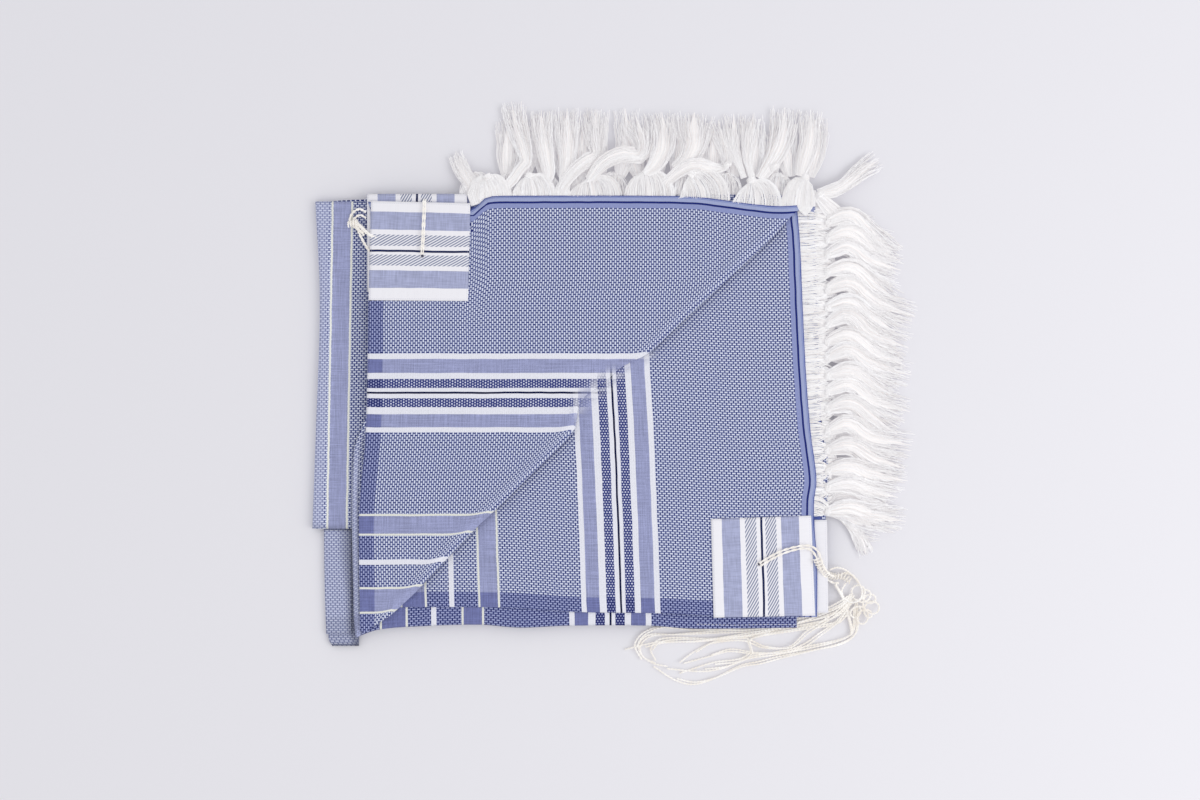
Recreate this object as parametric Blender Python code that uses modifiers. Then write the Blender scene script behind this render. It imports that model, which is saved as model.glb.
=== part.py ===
"""A tallit prayer shawl, folded and lying flat.

The shawl is folded in half twice, and its fringed end is turned into a mitre,
so one fringed edge lies along the back and the other along the right side.
Sizes are in millimetres. The origin is on the surface it rests on, under the
centre of the cloth and its fringe; +X runs right, +Y back and +Z up.
"""

import math

import bmesh
import bpy
from mathutils import Vector

MM = 0.001
WALL = 1.2            # one layer of the folded cloth
PATCH_WALL = 1.0      # a corner patch
GAP = 0.3             # clearance between neighbouring pieces
LAYER = WALL + GAP
LEFT, RIGHT = -302.5, 302.5      # fold at the left, longest tassel at the right
FRONT, BACK = -275.5, 275.5      # lowest fold at the front, longest tassel at the back
FOLD_TOP = 8.1        # top of the folded cloth that the end panels lie on
LOW_FOLD_TOP = 5.7    # top of the lower packet at the left front
EYELET_RADIUS = 1.5
PUNCH_DEPTH = 12.0    # longer than any patch is thick
UNEVEN = 0.5          # how much the cloth layers rise and fall

CLOTH = (0.29, 0.33, 0.50, 1.0)
DARK_CLOTH = (0.18, 0.21, 0.38, 1.0)
LIGHT_CLOTH = (0.43, 0.46, 0.60, 1.0)
PATCH = (0.70, 0.71, 0.80, 1.0)
WHITE = (0.80, 0.79, 0.80, 1.0)
CREAM = (0.79, 0.75, 0.70, 1.0)

# The end panels' edges, as (place along the edge, where the edge lies).
BACK_EDGE = [  # x, y
    (-246, 170), (-145, 169), (-132, 173), (-100, 176), (40, 176),
    (86, 174.5), (136, 168), (166, 165.5), (190, 167),
]
LEFT_EDGE = [  # y, x
    (-262, -254), (-240, -254), (-140, -254.5), (-58, -248), (22, -246), (180, -246),
]
RIGHT_EDGE = [  # y, x
    (-248, 203), (-190, 203), (-150, 200), (-128, 200), (-108, 202.5),
    (-58, 196.5), (0, 192), (60, 189), (130, 186), (160, 183.5), (172, 183),
]
FRONT_EDGE = [  # x, y
    (-260, -235.5), (-114, -235.5), (-40, -240), (50, -241.5), (126, -245), (210, -245),
]
DIAGONAL = [  # x, y of the rolled fold between the two panels
    (-252, -262), (-229, -243), (-202, -218), (-174, -188), (-139, -151), (-114, -128),
    (-39, -57), (33, 22), (104, 88), (176, 155), (186, 164),
]

# The second end of the cloth, which lies under the panels.
UNDER_BACK_EDGE = [(-250, 178), (0, 177.5), (126, 179), (216, 178)]  # x, y
UNDER_FRONT_EDGE = [  # x, y
    (-262, -268), (-249, -262), (-236, -258), (-204, -255), (-134, -253), (-94, -256),
    (-46, -254), (36, -254), (76, -257), (184, -256),
]
UNDER_LEFT_EDGE = [(-268, -259), (-240, -261), (-80, -261), (-40, -247.5), (178, -247.5)]  # y, x
UNDER_RIGHT_EDGE = [(-148, 212), (-101, 215), (-40, 209), (102, 204), (178, 201)]  # y, x
NOTCH_Y, NOTCH_X = -243.0, 183.0   # its corner is shorter below this line

LEFT_FOLD = [(-157, LEFT), (-60, -299), (72, -295), (171, -299.5)]  # y, x


def read(rows, at):
    """The value at one place on a smooth curve through (place, value) rows."""
    at = min(max(at, rows[0][0]), rows[-1][0])
    last = len(rows) - 1
    i = max(k for k in range(last) if rows[k][0] <= at)

    def slope(k):
        a, b = rows[max(k - 1, 0)], rows[min(k + 1, last)]
        return (b[1] - a[1]) / (b[0] - a[0])

    (x0, y0), (x1, y1) = rows[i], rows[i + 1]
    span = x1 - x0
    t = (at - x0) / span
    return (
        (2 * t**3 - 3 * t**2 + 1) * y0
        + (t**3 - 2 * t**2 + t) * span * slope(i)
        + (3 * t**2 - 2 * t**3) * y1
        + (t**3 - t**2) * span * slope(i + 1)
    )


def ease(value, low, high):
    """0 below low, 1 above high, smooth between."""
    t = min(max((value - low) / (high - low), 0), 1)
    return t * t * (3 - 2 * t)


def blend(a, b, t):
    return a + (b - a) * t


def unevenness(x, y):
    """How far every end layer rises above flat, never below it."""
    return UNEVEN * 0.5 * (1 + math.sin(x / 61 + 0.7) * math.cos(y / 53))


def layer_middle(number):
    """Mid height of an end layer: 0 is the lowest, 3 the top one."""
    return FOLD_TOP + GAP + WALL / 2 + number * LAYER


def new_object(name, mesh, colour, smooth=True):
    material = bpy.data.materials.new(name + "_cloth")
    material.use_nodes = True
    shader = material.node_tree.nodes["Principled BSDF"]
    shader.inputs["Base Color"].default_value = colour
    shader.inputs["Roughness"].default_value = 0.9
    shader.inputs["Metallic"].default_value = 0.0
    mesh.materials.append(material)
    thing = bpy.data.objects.new(name, mesh)
    parts.objects.link(thing)
    if smooth and isinstance(mesh, bpy.types.Mesh):
        mesh.shade_smooth()
    return thing


def sheet(name, rows, colour, wall=WALL):
    """A layer of cloth: a wall around the surface through equal rows of points."""
    mesh = bpy.data.meshes.new(name)
    bm = bmesh.new()
    grid = [[bm.verts.new(Vector(p) * MM) for p in row] for row in rows]
    for low, high in zip(grid, grid[1:]):
        for i in range(len(low) - 1):
            bm.faces.new((low[i], low[i + 1], high[i + 1], high[i]))
    bm.to_mesh(mesh)
    bm.free()
    thing = new_object(name, mesh, colour)
    thickness = thing.modifiers.new("Wall", "SOLIDIFY")
    thickness.thickness = wall * MM
    thickness.offset = 0
    return thing


def loft(name, rings, colour):
    """A closed solid through rings of equal point counts, capped at both ends."""
    mesh = bpy.data.meshes.new(name)
    bm = bmesh.new()
    loops = [[bm.verts.new(Vector(p) * MM) for p in ring] for ring in rings]
    for low, high in zip(loops, loops[1:]):
        for i in range(len(low)):
            j = (i + 1) % len(low)
            bm.faces.new((low[i], low[j], high[j], high[i]))
    bm.faces.new(loops[0])
    bm.faces.new(loops[-1])
    bmesh.ops.remove_doubles(bm, verts=bm.verts, dist=1e-6)
    bmesh.ops.recalc_face_normals(bm, faces=bm.faces)
    bm.to_mesh(mesh)
    bm.free()
    return new_object(name, mesh, colour, smooth=False)


def inset(ring, amount):
    """A closed outline moved inwards; the outline runs anticlockwise."""
    moved = []
    for before, here, after in zip(ring[-1:] + ring[:-1], ring, ring[1:] + ring[:1]):
        a = (Vector(here) - Vector(before)).normalized()
        b = (Vector(after) - Vector(here)).normalized()
        inward = Vector((-a.y - b.y, a.x + b.x))
        inward *= 2 / max(inward.length_squared, 1)
        moved.append(tuple(Vector(here) + inward * amount))
    return moved


# --- The folded cloth under the end panels -------------------------------------------
FOLD_STEPS = 6
LOW_FLAP_END = -269.0    # how far the left fold reaches underneath
HIGH_FLAP_END = -234.0   # and on top, under the end panels
PACKET_FRONT = -157.0    # where the upper left packet ends
PACKET_BACK = 171.0
PACKET_STEPS = 12


def left_fold_rows(edge, top, flap_low, flap_high, places):
    """Rows across a fold that lies on its side: under, round the left edge, and over."""
    low, high = WALL / 2, top - WALL / 2
    radius = (high - low) / 2
    rows = []
    for y in places:
        turn_x = edge(y) + top / 2
        row = [(flap_low, y, low), (blend(flap_low, turn_x, 0.5), y, low)]
        for step in range(FOLD_STEPS + 1):
            angle = math.pi * step / FOLD_STEPS
            row.append((turn_x - radius * math.sin(angle), y,
                        low + radius * (1 - math.cos(angle))))
        row += [(blend(turn_x, flap_high, 0.5), y, high), (flap_high, y, high)]
        rows.append(row)
    return rows


def packet_edge(y):
    return read(LEFT_FOLD, y)


def packet_stations():
    return [blend(PACKET_FRONT, PACKET_BACK, k / PACKET_STEPS) for k in range(PACKET_STEPS + 1)]


def core_outline():
    """The hidden folds' outline, anticlockwise from the back left corner."""
    turn = FOLD_TOP / 2 - WALL - GAP
    ends = [PACKET_BACK - 5] + packet_stations()[-2:0:-1] + [PACKET_FRONT + 9]
    left = [(packet_edge(y) + FOLD_TOP / 2 - turn + GAP, y) for y in ends]
    return left + [
        (-262, -152), (-253, -160), (-252, -244), (-244, -249), (-120, -247), (0, -248),
        (120, -250), (176, -250), (194, -238), (202, -180), (206, -100), (200, 0),
        (196, 120), (192, 166), (186, 172), (60, 171), (-120, 171), (-290, 171),
    ]


def build_hidden_folds():
    """Layers of cloth pressed into one body, ribbed at its edges where they fold."""
    outline = core_outline()
    ribs = 5
    shelf_low, shelf_high = WALL + GAP, FOLD_TOP - WALL - GAP
    turn = (shelf_high - shelf_low) / 2

    def ring(z, depth, clear_of=None):
        points = inset(outline, depth)
        if clear_of is not None:
            points = [(max(x, clear_of), y) for x, y in points]
        return [(x, y, z) for x, y in points]

    rings = [ring(0, 1.2, LOW_FLAP_END + GAP), ring(0.7, 0.3, LOW_FLAP_END + GAP),
             ring(shelf_low - 0.1, 0.9, LOW_FLAP_END + GAP)]
    pitch = (shelf_high - shelf_low) / ribs
    for rib in range(2 * ribs + 1):
        z = shelf_low + rib * pitch / 2
        rounding = turn - math.sqrt(max(turn**2 - (z - shelf_low - turn)**2, 0))
        rings.append(ring(z, rounding + (0.8 if rib % 2 == 0 else 0.1)))
    rings += [ring(shelf_high + 0.1, 0.9, HIGH_FLAP_END + GAP),
              ring(shelf_high + 0.9, 0.3, HIGH_FLAP_END + GAP),
              ring(FOLD_TOP, 1.2, HIGH_FLAP_END + GAP)]
    loft("hidden_folds", rings, CLOTH)


def build_left_folds():
    sheet("left_fold_upper",
          left_fold_rows(packet_edge, FOLD_TOP, LOW_FLAP_END, HIGH_FLAP_END,
                         packet_stations()), LIGHT_CLOTH)

    def low_edge(y):
        return -291.0 + 0.02 * (y - PACKET_FRONT) * (y - PACKET_FRONT) / 100

    front, back = -263.0, PACKET_FRONT - GAP
    places = [blend(front, back, k / 6) for k in range(7)]
    sheet("left_fold_lower",
          left_fold_rows(low_edge, LOW_FOLD_TOP, -264.0, -263.0, places), LIGHT_CLOTH)

    # the packet's inner layers, which reach further forward than the layer round them
    turn = LOW_FOLD_TOP / 2 - WALL - GAP
    low, high = WALL + GAP, LOW_FOLD_TOP - WALL - GAP
    rings = []
    for y in places[::-1] + [-270, FRONT]:
        x = low_edge(y) + LOW_FOLD_TOP / 2
        right = blend(-256, -257, ease(y, -240, -200))
        rings.append([(x, y, low), (x - turn * 0.7, y, low + turn * 0.3), (x - turn, y, low + turn),
                      (x - turn * 0.7, y, high - turn * 0.3), (x, y, high),
                      (right, y, high), (right + 0.8, y, low + turn), (right, y, low)])
    loft("left_fold_lower_inner", rings, DARK_CLOTH)


# --- The end panels ------------------------------------------------------------------
ACROSS = Vector((-1, 1)).normalized()   # from the rolled fold towards the back left
PANEL_STEPS = 8
ROLL_STEPS = 5
ROLL_LIFT = 1.1        # the roll stands this much above its panel
RETURN_REACH = 60.0    # how far the top panel turns back under itself
TUCKED_REACH = 45.0    # how far the side panel runs in under the top one


def fold_point(x):
    return Vector((x, read(DIAGONAL, x)))


def in_top_panel(p):
    return p.x > read(LEFT_EDGE, p.y) and p.y < read(BACK_EDGE, p.x)


def in_side_panel(p):
    return p.x < read(RIGHT_EDGE, p.y) and p.y > read(FRONT_EDGE, p.x)


def reach(start, direction, inside):
    """How far a straight line from start stays inside a panel's edges, by halving."""
    near, far = 0.0, 420.0      # no line across the shawl is longer
    for _ in range(24):
        middle = (near + far) / 2
        if inside(start + direction * middle):
            near = middle
        else:
            far = middle
    return near


def stations(stops, steps):
    """Places along the rolled fold that keep each stop as one of them."""
    places = []
    for (a, b), n in zip(zip(stops, stops[1:]), steps):
        places += [blend(a, b, k / n) for k in range(n)]
    return places + [stops[-1]]


def build_top_panel():
    """Upper left panel: turned under along the diagonal, round a soft roll, and over."""
    low, high = layer_middle(2), layer_middle(3)
    rows = []
    for x in stations((-245, -38, 180), (13, 13)):
        start = fold_point(x)
        width = reach(start, ACROSS, in_top_panel)
        turned = min(RETURN_REACH, 0.7 * width)
        crest = high + ROLL_LIFT * ease(width, 8, 60)
        radius = (crest - low) / 2
        row = []
        for k in range(3):
            p = start + ACROSS * blend(turned, 1.5, k / 2)
            row.append((p.x, p.y, low + unevenness(p.x, p.y)))
        for k in range(1, ROLL_STEPS + 1):
            angle = math.pi * k / (ROLL_STEPS + 1)
            p = start - ACROSS * radius * math.sin(angle)
            row.append((p.x, p.y, low + radius * (1 - math.cos(angle)) + unevenness(p.x, p.y)))
        for k in range(PANEL_STEPS + 1):
            out = blend(1.5, width, (k / PANEL_STEPS) ** 1.3)
            p = start + ACROSS * out
            z = blend(crest, high, ease(out, 2, 16))
            row.append((p.x, p.y, z + unevenness(p.x, p.y)))
        rows.append(row)
    sheet("end_panel_top", rows, CLOTH)


def build_inner_turn():
    """The layer inside the top panel's fold, level with the side panel."""
    rows = []
    for x in stations((-200, -38, 120), (7, 7)):
        start = fold_point(x)
        width = reach(start, ACROSS, in_top_panel)
        row = []
        for k in range(5):
            p = start + ACROSS * blend(TUCKED_REACH + 3, width - 2, k / 4)
            row.append((p.x, p.y, layer_middle(1) + unevenness(p.x, p.y)))
        rows.append(row)
    sheet("end_panel_inner_turn", rows, CLOTH)


def patch_rise(x, y):
    """The side panel is lifted where the lower corner patch lies beneath it."""
    return (PATCH_WALL + GAP) * ease(x, 28, 70) * ease(-y, 60, 118)


def side_height(x, y):
    return layer_middle(1) + unevenness(x, y) + patch_rise(x, y)


def build_side_panel():
    """Lower right panel, tucked in under the top one."""
    rows = []
    for x in stations((-224, -24, 182), (10, 12)):
        start = fold_point(x)
        width = reach(start, -ACROSS, in_side_panel)
        tucked = min(TUCKED_REACH, 0.6 * reach(start, ACROSS, in_top_panel))
        row = []
        for k in range(-1, PANEL_STEPS + 2):
            out = -tucked if k < 0 else blend(0, width, k / (PANEL_STEPS + 1))
            p = start - ACROSS * out
            row.append((p.x, p.y, side_height(p.x, p.y)))
        rows.append(row)
    sheet("end_panel_side", rows, CLOTH)


def build_under_panel():
    """The second fringed end, seen past the panels at the back, right and front."""
    front, back = UNDER_LEFT_EDGE[0][0], UNDER_LEFT_EDGE[-1][0]
    straight_from = UNDER_RIGHT_EDGE[0][0]     # its right edge is straight in front of this
    heights = [front, -256, NOTCH_Y - 1, NOTCH_Y, -200, straight_from, -101, -40, 30, 102, 140, back]
    rows = []
    for y in heights:
        left = read(UNDER_LEFT_EDGE, y)
        right = NOTCH_X if y < NOTCH_Y else read(UNDER_RIGHT_EDGE, max(y, straight_from))
        row = []
        for x in (blend(left, right, k / 12) for k in range(13)):
            level = min(y, read(UNDER_BACK_EDGE, x))
            if y <= NOTCH_Y:                   # the front rows follow the front edge
                level = blend(read(UNDER_FRONT_EDGE, x), level, (y - front) / (back - front))
            row.append((x, level, layer_middle(0) + unevenness(x, level)))
        rows.append(row)
    sheet("end_panel_under", rows, DARK_CLOTH)


# --- The corner patches --------------------------------------------------------------
def build_patch(name, corners, height, wall=PATCH_WALL, eyelet=None):
    """A square patch laid on a layer: corners run from back left, clockwise."""
    a, b, c, d = (Vector(p) for p in corners)
    steps = 6
    rows = []
    for i in range(steps + 1):
        row = []
        for j in range(steps + 1):
            p = a.lerp(b, j / steps).lerp(d.lerp(c, j / steps), i / steps)
            row.append((p.x, p.y, height(p.x, p.y)))
        rows.append(row)
    patch = sheet(name, rows, PATCH, wall)
    if eyelet:
        x, y = eyelet
        bpy.ops.mesh.primitive_cylinder_add(
            vertices=12, radius=EYELET_RADIUS * MM, depth=PUNCH_DEPTH * MM,
            location=(x * MM, y * MM, height(x, y) * MM))
        punch = bpy.context.object
        punch.name = name + "_punch"
        punch.hide_render = True
        punch.display_type = "WIRE"
        for home in punch.users_collection:
            home.objects.unlink(punch)
        cutters.objects.link(punch)
        hole = patch.modifiers.new("Eyelet", "BOOLEAN")
        hole.object = punch


PATCH_RISE = WALL / 2 + GAP + PATCH_WALL / 2
EYELET_UPPER = (-191.5, 116.0)
EYELET_LOWER = (145.0, -192.0)


def build_patches():
    def on_top(x, y):
        return layer_middle(3) + unevenness(x, y) + PATCH_RISE

    def under_top(x, y):
        return layer_middle(1) + unevenness(x, y) + PATCH_RISE

    def on_side(x, y):
        return side_height(x, y) + PATCH_RISE

    def under_side(x, y):
        return layer_middle(0) + unevenness(x, y) + PATCH_RISE

    build_patch("patch_upper", [(-242, 171), (-143, 168.7), (-145.5, 71), (-244.5, 72)],
                on_top, eyelet=EYELET_UPPER)
    build_patch("patch_upper_under", [(-247, 178), (-147, 178), (-147, 80), (-246.5, 80)],
                under_top)
    build_patch("patch_lower", [(97, -147), (197, -143.5), (201, -243.5), (99.5, -245.5)],
                on_side, eyelet=EYELET_LOWER)
    build_patch("patch_lower_under", [(110, -149), (208.5, -149), (214, -241), (113, -242)],
                under_side)


# --- The fringe ----------------------------------------------------------------------
# Each row is one line across the fringe: where it leaves the cloth and where it ends.
BACK_FRINGE = [  # root x, tip x, tip y
    (-134, -128, 200), (-129, -117, 266), (-119, -105, BACK), (-104, -86, 264), (-84, -66, 262),
    (-50, -48, 258), (-25, -27, 266), (0, -4, 246), (25, 20, 260), (54, 54, 242),
    (86, 84, 258), (112, 113, 238), (134, 133, 254), (150, 152, 252), (167, 171, 265),
    (178, 192, 262), (182, 212, 214), (184, 262, 218), (186, 279, 205),
]
RIGHT_FRINGE = [  # root y, tip x, tip y
    (160, 262, 163), (150, 258, 145), (138, 276, 135), (112, 284, 112), (87, 276, 87),
    (62, 289, 62), (32, 281, 32), (6, 291, 6), (-22, 294, -24), (-50, 286, -54),
    (-78, RIGHT, -84), (-95, 268, -97), (-106, 234, -110), (-114, 252, -128),
    (-121, 271, -150), (-128, 256, -176),
]
UNDER_FRINGE_REACH = 21.0
SHORT_TASSEL = (-164.0, 222.0)   # the one tassel of the lower fringe that shows
TIP_HEIGHT = 3.0
ROOT_GAP = 1.0      # the fringe starts this far outside the faceted edge it belongs to


def profile_ring(root, tip, profile):
    """A closed ring standing on the line from root to tip: (distance, height) pairs."""
    way = (tip - root).normalized()
    return [(*(root + way * out), z) for out, z in profile]


def fringe_profile(base, wall, shelf, length):
    """Cross-section of the upper fringe: over the lower fringe, then down to the surface."""
    past = shelf + UNDER_FRINGE_REACH + 3
    if length < past + 6:
        share = length / (past + 6)
        top = [(length * step / 5, base + wall) for step in (5, 4, 3, 2, 1)]
        return [(ROOT_GAP, base), (shelf * share, base), (length, base),
                (length + 1, base + wall * 0.5), *top, (ROOT_GAP, base + wall)]
    body = max(base * 0.62, 6.5)
    return [
        (ROOT_GAP, base), (shelf, max(base * 0.8, 10.4)), (past - 1, 6.0), (past, 0.0),
        (length - 1, 0.0), (length, TIP_HEIGHT * 0.5), (length - 2, TIP_HEIGHT),
        (blend(past, length, 0.5), body), (shelf + 4, base + wall * 0.3), (ROOT_GAP, base + wall),
    ]


def in_under_panel(p):
    return p.x < read(UNDER_RIGHT_EDGE, p.y) and p.y < read(UNDER_BACK_EDGE, p.x)


def upper_ring(root, tip, base):
    """One line of the upper fringe, lying over the lower panel and its fringe."""
    way = (tip - root).normalized()
    shelf = reach(root, way, in_under_panel) + 2
    return profile_ring(root, tip, fringe_profile(base, WALL, shelf, (tip - root).length))


def build_upper_fringes():
    rings = []
    for root_x, tip_x, tip_y in BACK_FRINGE:
        root = Vector((root_x, read(BACK_EDGE, root_x)))
        tip = Vector((tip_x, tip_y))
        base = layer_middle(3) - WALL / 2 + unevenness(*root)
        rings.append(upper_ring(root, tip, base))
    loft("fringe_back", rings, WHITE)

    rings = []
    for root_y, tip_x, tip_y in RIGHT_FRINGE:
        root = Vector((read(RIGHT_EDGE, root_y), root_y))
        tip = Vector((tip_x, tip_y))
        base = side_height(*root) - WALL / 2
        rings.append(upper_ring(root, tip, base))
    loft("fringe_right", rings, WHITE)


def build_under_fringes():
    """The second end's fringe, nearly all of it under the first end's."""
    def ring(root, tip):
        base = layer_middle(0) - WALL / 2 + unevenness(*root)
        length = (tip - root).length
        return profile_ring(root, tip, [
            (ROOT_GAP, base), (5, 0), (length - 1, 0), (length, 2), (length - 1, 4.2),
            (ROOT_GAP, base + WALL)])

    rings = []
    for k in range(13):
        root_x = blend(-150, 192, k / 12)
        root = Vector((root_x, read(UNDER_BACK_EDGE, root_x)))
        if k == 0:
            rings.append(ring(root, Vector(SHORT_TASSEL)))
            root = root + Vector((10, 0))
        rings.append(ring(root, root + Vector((0, UNDER_FRINGE_REACH))))
    loft("fringe_back_under", rings, WHITE)

    rings = []
    for k in range(13):
        root_y = blend(-128, 168, k / 12)
        root = Vector((read(UNDER_RIGHT_EDGE, root_y), root_y))
        rings.append(ring(root, root + Vector((UNDER_FRINGE_REACH - 3, 0))))
    loft("fringe_right_under", rings, WHITE)


# --- The knotted corner strings ------------------------------------------------------
STRING_RADIUS = 1.6
RIGHT_LEAD = [  # x, y, z from the eyelet, over the patch, down to the wound knots
    (145, -191, 15.9), (151, -187, 16.4), (166, -179, 16.4), (186, -173.5, 16.3),
    (197, -174, 16.0), (204, -180, 15.2), (207, -188, 14.8), (211, -197, 14.4),
    (218.5, -204, 9.2), (226, -204, 3.6), (234, -202, 2.3), (242, -206, 2.3), (246, -212, 2.3),
]
UPPER_LEAD = [  # from the other eyelet, back over the patch and down behind its edge
    (-191.5, 117, 18.2), (-190.5, 130, 18.6), (-189.5, 150, 18.6), (-189, 168, 18.5),
    (-189, 173.5, 17.4), (-189, 176.5, 15.4),
]
LEFT_LOOP = [  # out from under the top panel, round the knot, and back under
    (-250.5, 158, 12.0), (-256, 160, 11.4), (-261, 156, 10.6), (-262, 150, 10.4),
    (-258, 146.5, 10.4), (-250.5, 139, 12.0),
]
LEFT_TAIL = [  # two more strands, from the knot to the panel's edge
    (-262, 144, 10.2), (-255.5, 135, 10.4), (-251, 121, 12.0),
]
KNOT_OUTLINE = [  # x, y of the heap of knots beside the corner
    (240, -216), (252, -214), (264, -222), (267, -238), (260, -252), (248, -254), (238, -244),
    (236, -228),
]
STRANDS_OUTLINE = [  # x, y round the loose strands
    (236, -257), (214, -254), (188, -262), (140, -268), (60, -268), (36, -264), (24, -272),
    (32, -296), (52, -312), (80, -315), (114, -308), (160, -293), (200, -287), (234, -280),
    (245, -268),
]


def string_tube(name, route, radius=STRING_RADIUS):
    """A round string along a smooth curve through its route's points."""
    spaced = [0.0]
    for a, b in zip(route, route[1:]):
        spaced.append(spaced[-1] + (Vector(b) - Vector(a)).length)
    count = max(4, round(spaced[-1] / (5 * radius)))
    curve = bpy.data.curves.new(name, "CURVE")
    curve.dimensions = "3D"
    curve.bevel_depth = radius * MM
    curve.bevel_resolution = 2
    curve.use_fill_caps = True
    curve.render_resolution_u = 0
    line = curve.splines.new("POLY")
    line.points.add(count)
    for k in range(count + 1):
        at = spaced[-1] * k / count
        place = [read([(s, p[axis]) for s, p in zip(spaced, route)], at) for axis in range(3)]
        line.points[k].co = (*(Vector(place) * MM), 1)
    new_object(name, curve, CREAM)


def flat_heap(name, outline, height):
    """A heap of loose strings as a plain rounded slab lying on the surface."""
    curve = bpy.data.curves.new(name, "CURVE")
    curve.dimensions = "2D"
    curve.fill_mode = "BOTH"
    curve.extrude = height * MM / 2
    curve.resolution_u = 3
    curve.render_resolution_u = 0
    line = curve.splines.new("BEZIER")
    line.bezier_points.add(len(outline) - 1)
    for point, (x, y) in zip(line.bezier_points, outline):
        point.co = (x * MM, y * MM, 0)
        point.handle_left_type = point.handle_right_type = "AUTO"
    line.use_cyclic_u = True
    slab = new_object(name, curve, CREAM)
    slab.location.z = height * MM / 2


for old in list(bpy.data.objects):
    bpy.data.objects.remove(old)
parts = bpy.data.collections.new("tallit")
cutters = bpy.data.collections.new("cutters")
for home in (parts, cutters):
    bpy.context.scene.collection.children.link(home)

build_hidden_folds()
build_left_folds()
build_top_panel()
build_inner_turn()
build_side_panel()
build_under_panel()
build_patches()
build_upper_fringes()
build_under_fringes()
string_tube("string_right_lead", RIGHT_LEAD)
string_tube("string_upper_lead", UPPER_LEAD)
string_tube("string_left_loop", LEFT_LOOP, radius=1.4)
string_tube("string_left_tail", LEFT_TAIL, radius=1.2)
flat_heap("string_knots", KNOT_OUTLINE, 9.0)
flat_heap("string_strands", STRANDS_OUTLINE, 4.0)
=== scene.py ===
import math
import random

import bmesh
import bpy
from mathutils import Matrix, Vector, noise


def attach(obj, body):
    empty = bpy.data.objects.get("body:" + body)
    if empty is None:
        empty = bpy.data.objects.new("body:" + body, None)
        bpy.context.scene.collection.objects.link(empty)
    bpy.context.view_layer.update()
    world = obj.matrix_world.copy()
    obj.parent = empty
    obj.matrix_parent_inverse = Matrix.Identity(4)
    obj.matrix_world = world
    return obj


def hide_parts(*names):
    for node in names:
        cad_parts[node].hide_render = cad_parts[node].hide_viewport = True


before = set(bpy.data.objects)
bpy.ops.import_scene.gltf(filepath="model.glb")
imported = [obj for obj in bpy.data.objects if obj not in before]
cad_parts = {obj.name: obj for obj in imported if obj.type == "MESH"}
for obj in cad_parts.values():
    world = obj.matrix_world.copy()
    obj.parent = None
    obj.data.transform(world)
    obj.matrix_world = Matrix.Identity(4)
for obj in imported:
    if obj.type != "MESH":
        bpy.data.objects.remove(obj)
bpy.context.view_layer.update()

# --- Floor, soft light and camera -----------------------------------------------------
# The shawl lies on matt white card in a white tent, with one broad soft box to its
# right. The camera looks straight down on it.
MM = 0.001
TENT_WHITE = "#fdfdff"
TENT_STRENGTH = 0.83
SOFT_BOX_POWER = 14.0
CAMERA_PLACE = (-14.0, -28.0, 1812.0)   # mm
CAMERA_LENS = 54.0


def linear(code):
    """An sRGB hex colour as linear red, green, blue and alpha."""
    levels = [int(code[i:i + 2], 16) / 255 for i in (1, 3, 5)]
    return (*(c / 12.92 if c <= 0.04045 else ((c + 0.055) / 1.055) ** 2.4 for c in levels), 1.0)


def add(tree, kind, *values, named=None, output=0, **settings):
    """Add a node and return one of its outputs.

    "Math:ADD" is the shader node Math with its operation set to ADD. Values fill or
    link the inputs in order, None leaves one as it is, and named does so by name.
    """
    kind, _, operation = kind.partition(":")
    made = tree.nodes.new(kind if "Node" in kind else "ShaderNode" + kind)
    if operation:
        made.operation = operation
    for key, value in settings.items():
        setattr(made, key, value)
    for key, value in [*enumerate(values), *(named or {}).items()]:
        if isinstance(value, bpy.types.NodeSocket):
            tree.links.new(value, made.inputs[key])
        elif value is not None:
            made.inputs[key].default_value = value
    return made.outputs[output] if made.outputs else made


def new_material(name):
    """An empty material and the tree that a Principled shader is added to."""
    material = bpy.data.materials.new(name)
    material.use_nodes = True
    material.node_tree.nodes.clear()
    return material, material.node_tree


card, tree = new_material("Matt white card")   # paper card: flat, with a faint mottle
mottle = add(tree, "TexNoise", named={"Scale": 3.0, "Detail": 3.0})
shade = add(tree, "Mix", named={0: mottle, 6: linear("#e9e8ed"), 7: linear("#ecebef")},
            output=2, data_type="RGBA")
surface = add(tree, "BsdfPrincipled", named={"Base Color": shade, "Roughness": 0.95,
                                             "Specular IOR Level": 0.1})
add(tree, "OutputMaterial", surface)

bpy.ops.mesh.primitive_grid_add(x_subdivisions=2, y_subdivisions=2, size=8.0,
                                location=(0, 0, -0.0004))
floor = bpy.context.object
floor.name = "card_floor"
floor.data.materials.append(card)

tent = bpy.data.worlds.new("White tent")
tent.use_nodes = True
tent_light = tent.node_tree.nodes["Background"]
tent_light.inputs["Color"].default_value = linear(TENT_WHITE)
tent_light.inputs["Strength"].default_value = TENT_STRENGTH
bpy.context.scene.world = tent

box_light = bpy.data.lights.new("Soft box", "AREA")
box_light.shape = "DISK"
box_light.size = 1.6
box_light.energy = SOFT_BOX_POWER
soft_box = bpy.data.objects.new("soft_box", box_light)
soft_box.location = (1.7, -0.5, 1.6)
soft_box.rotation_euler = (Vector((0, 0, 0)) - soft_box.location).to_track_quat("-Z", "Y").to_euler()
bpy.context.scene.collection.objects.link(soft_box)

camera_data = bpy.data.cameras.new("Camera")
camera_data.lens = CAMERA_LENS
camera_data.sensor_width = 36.0
camera = bpy.data.objects.new("Camera", camera_data)
camera.location = Vector(CAMERA_PLACE) * MM
bpy.context.scene.collection.objects.link(camera)
bpy.context.scene.camera = camera
bpy.context.scene.view_settings.view_transform = "Standard"

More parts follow.
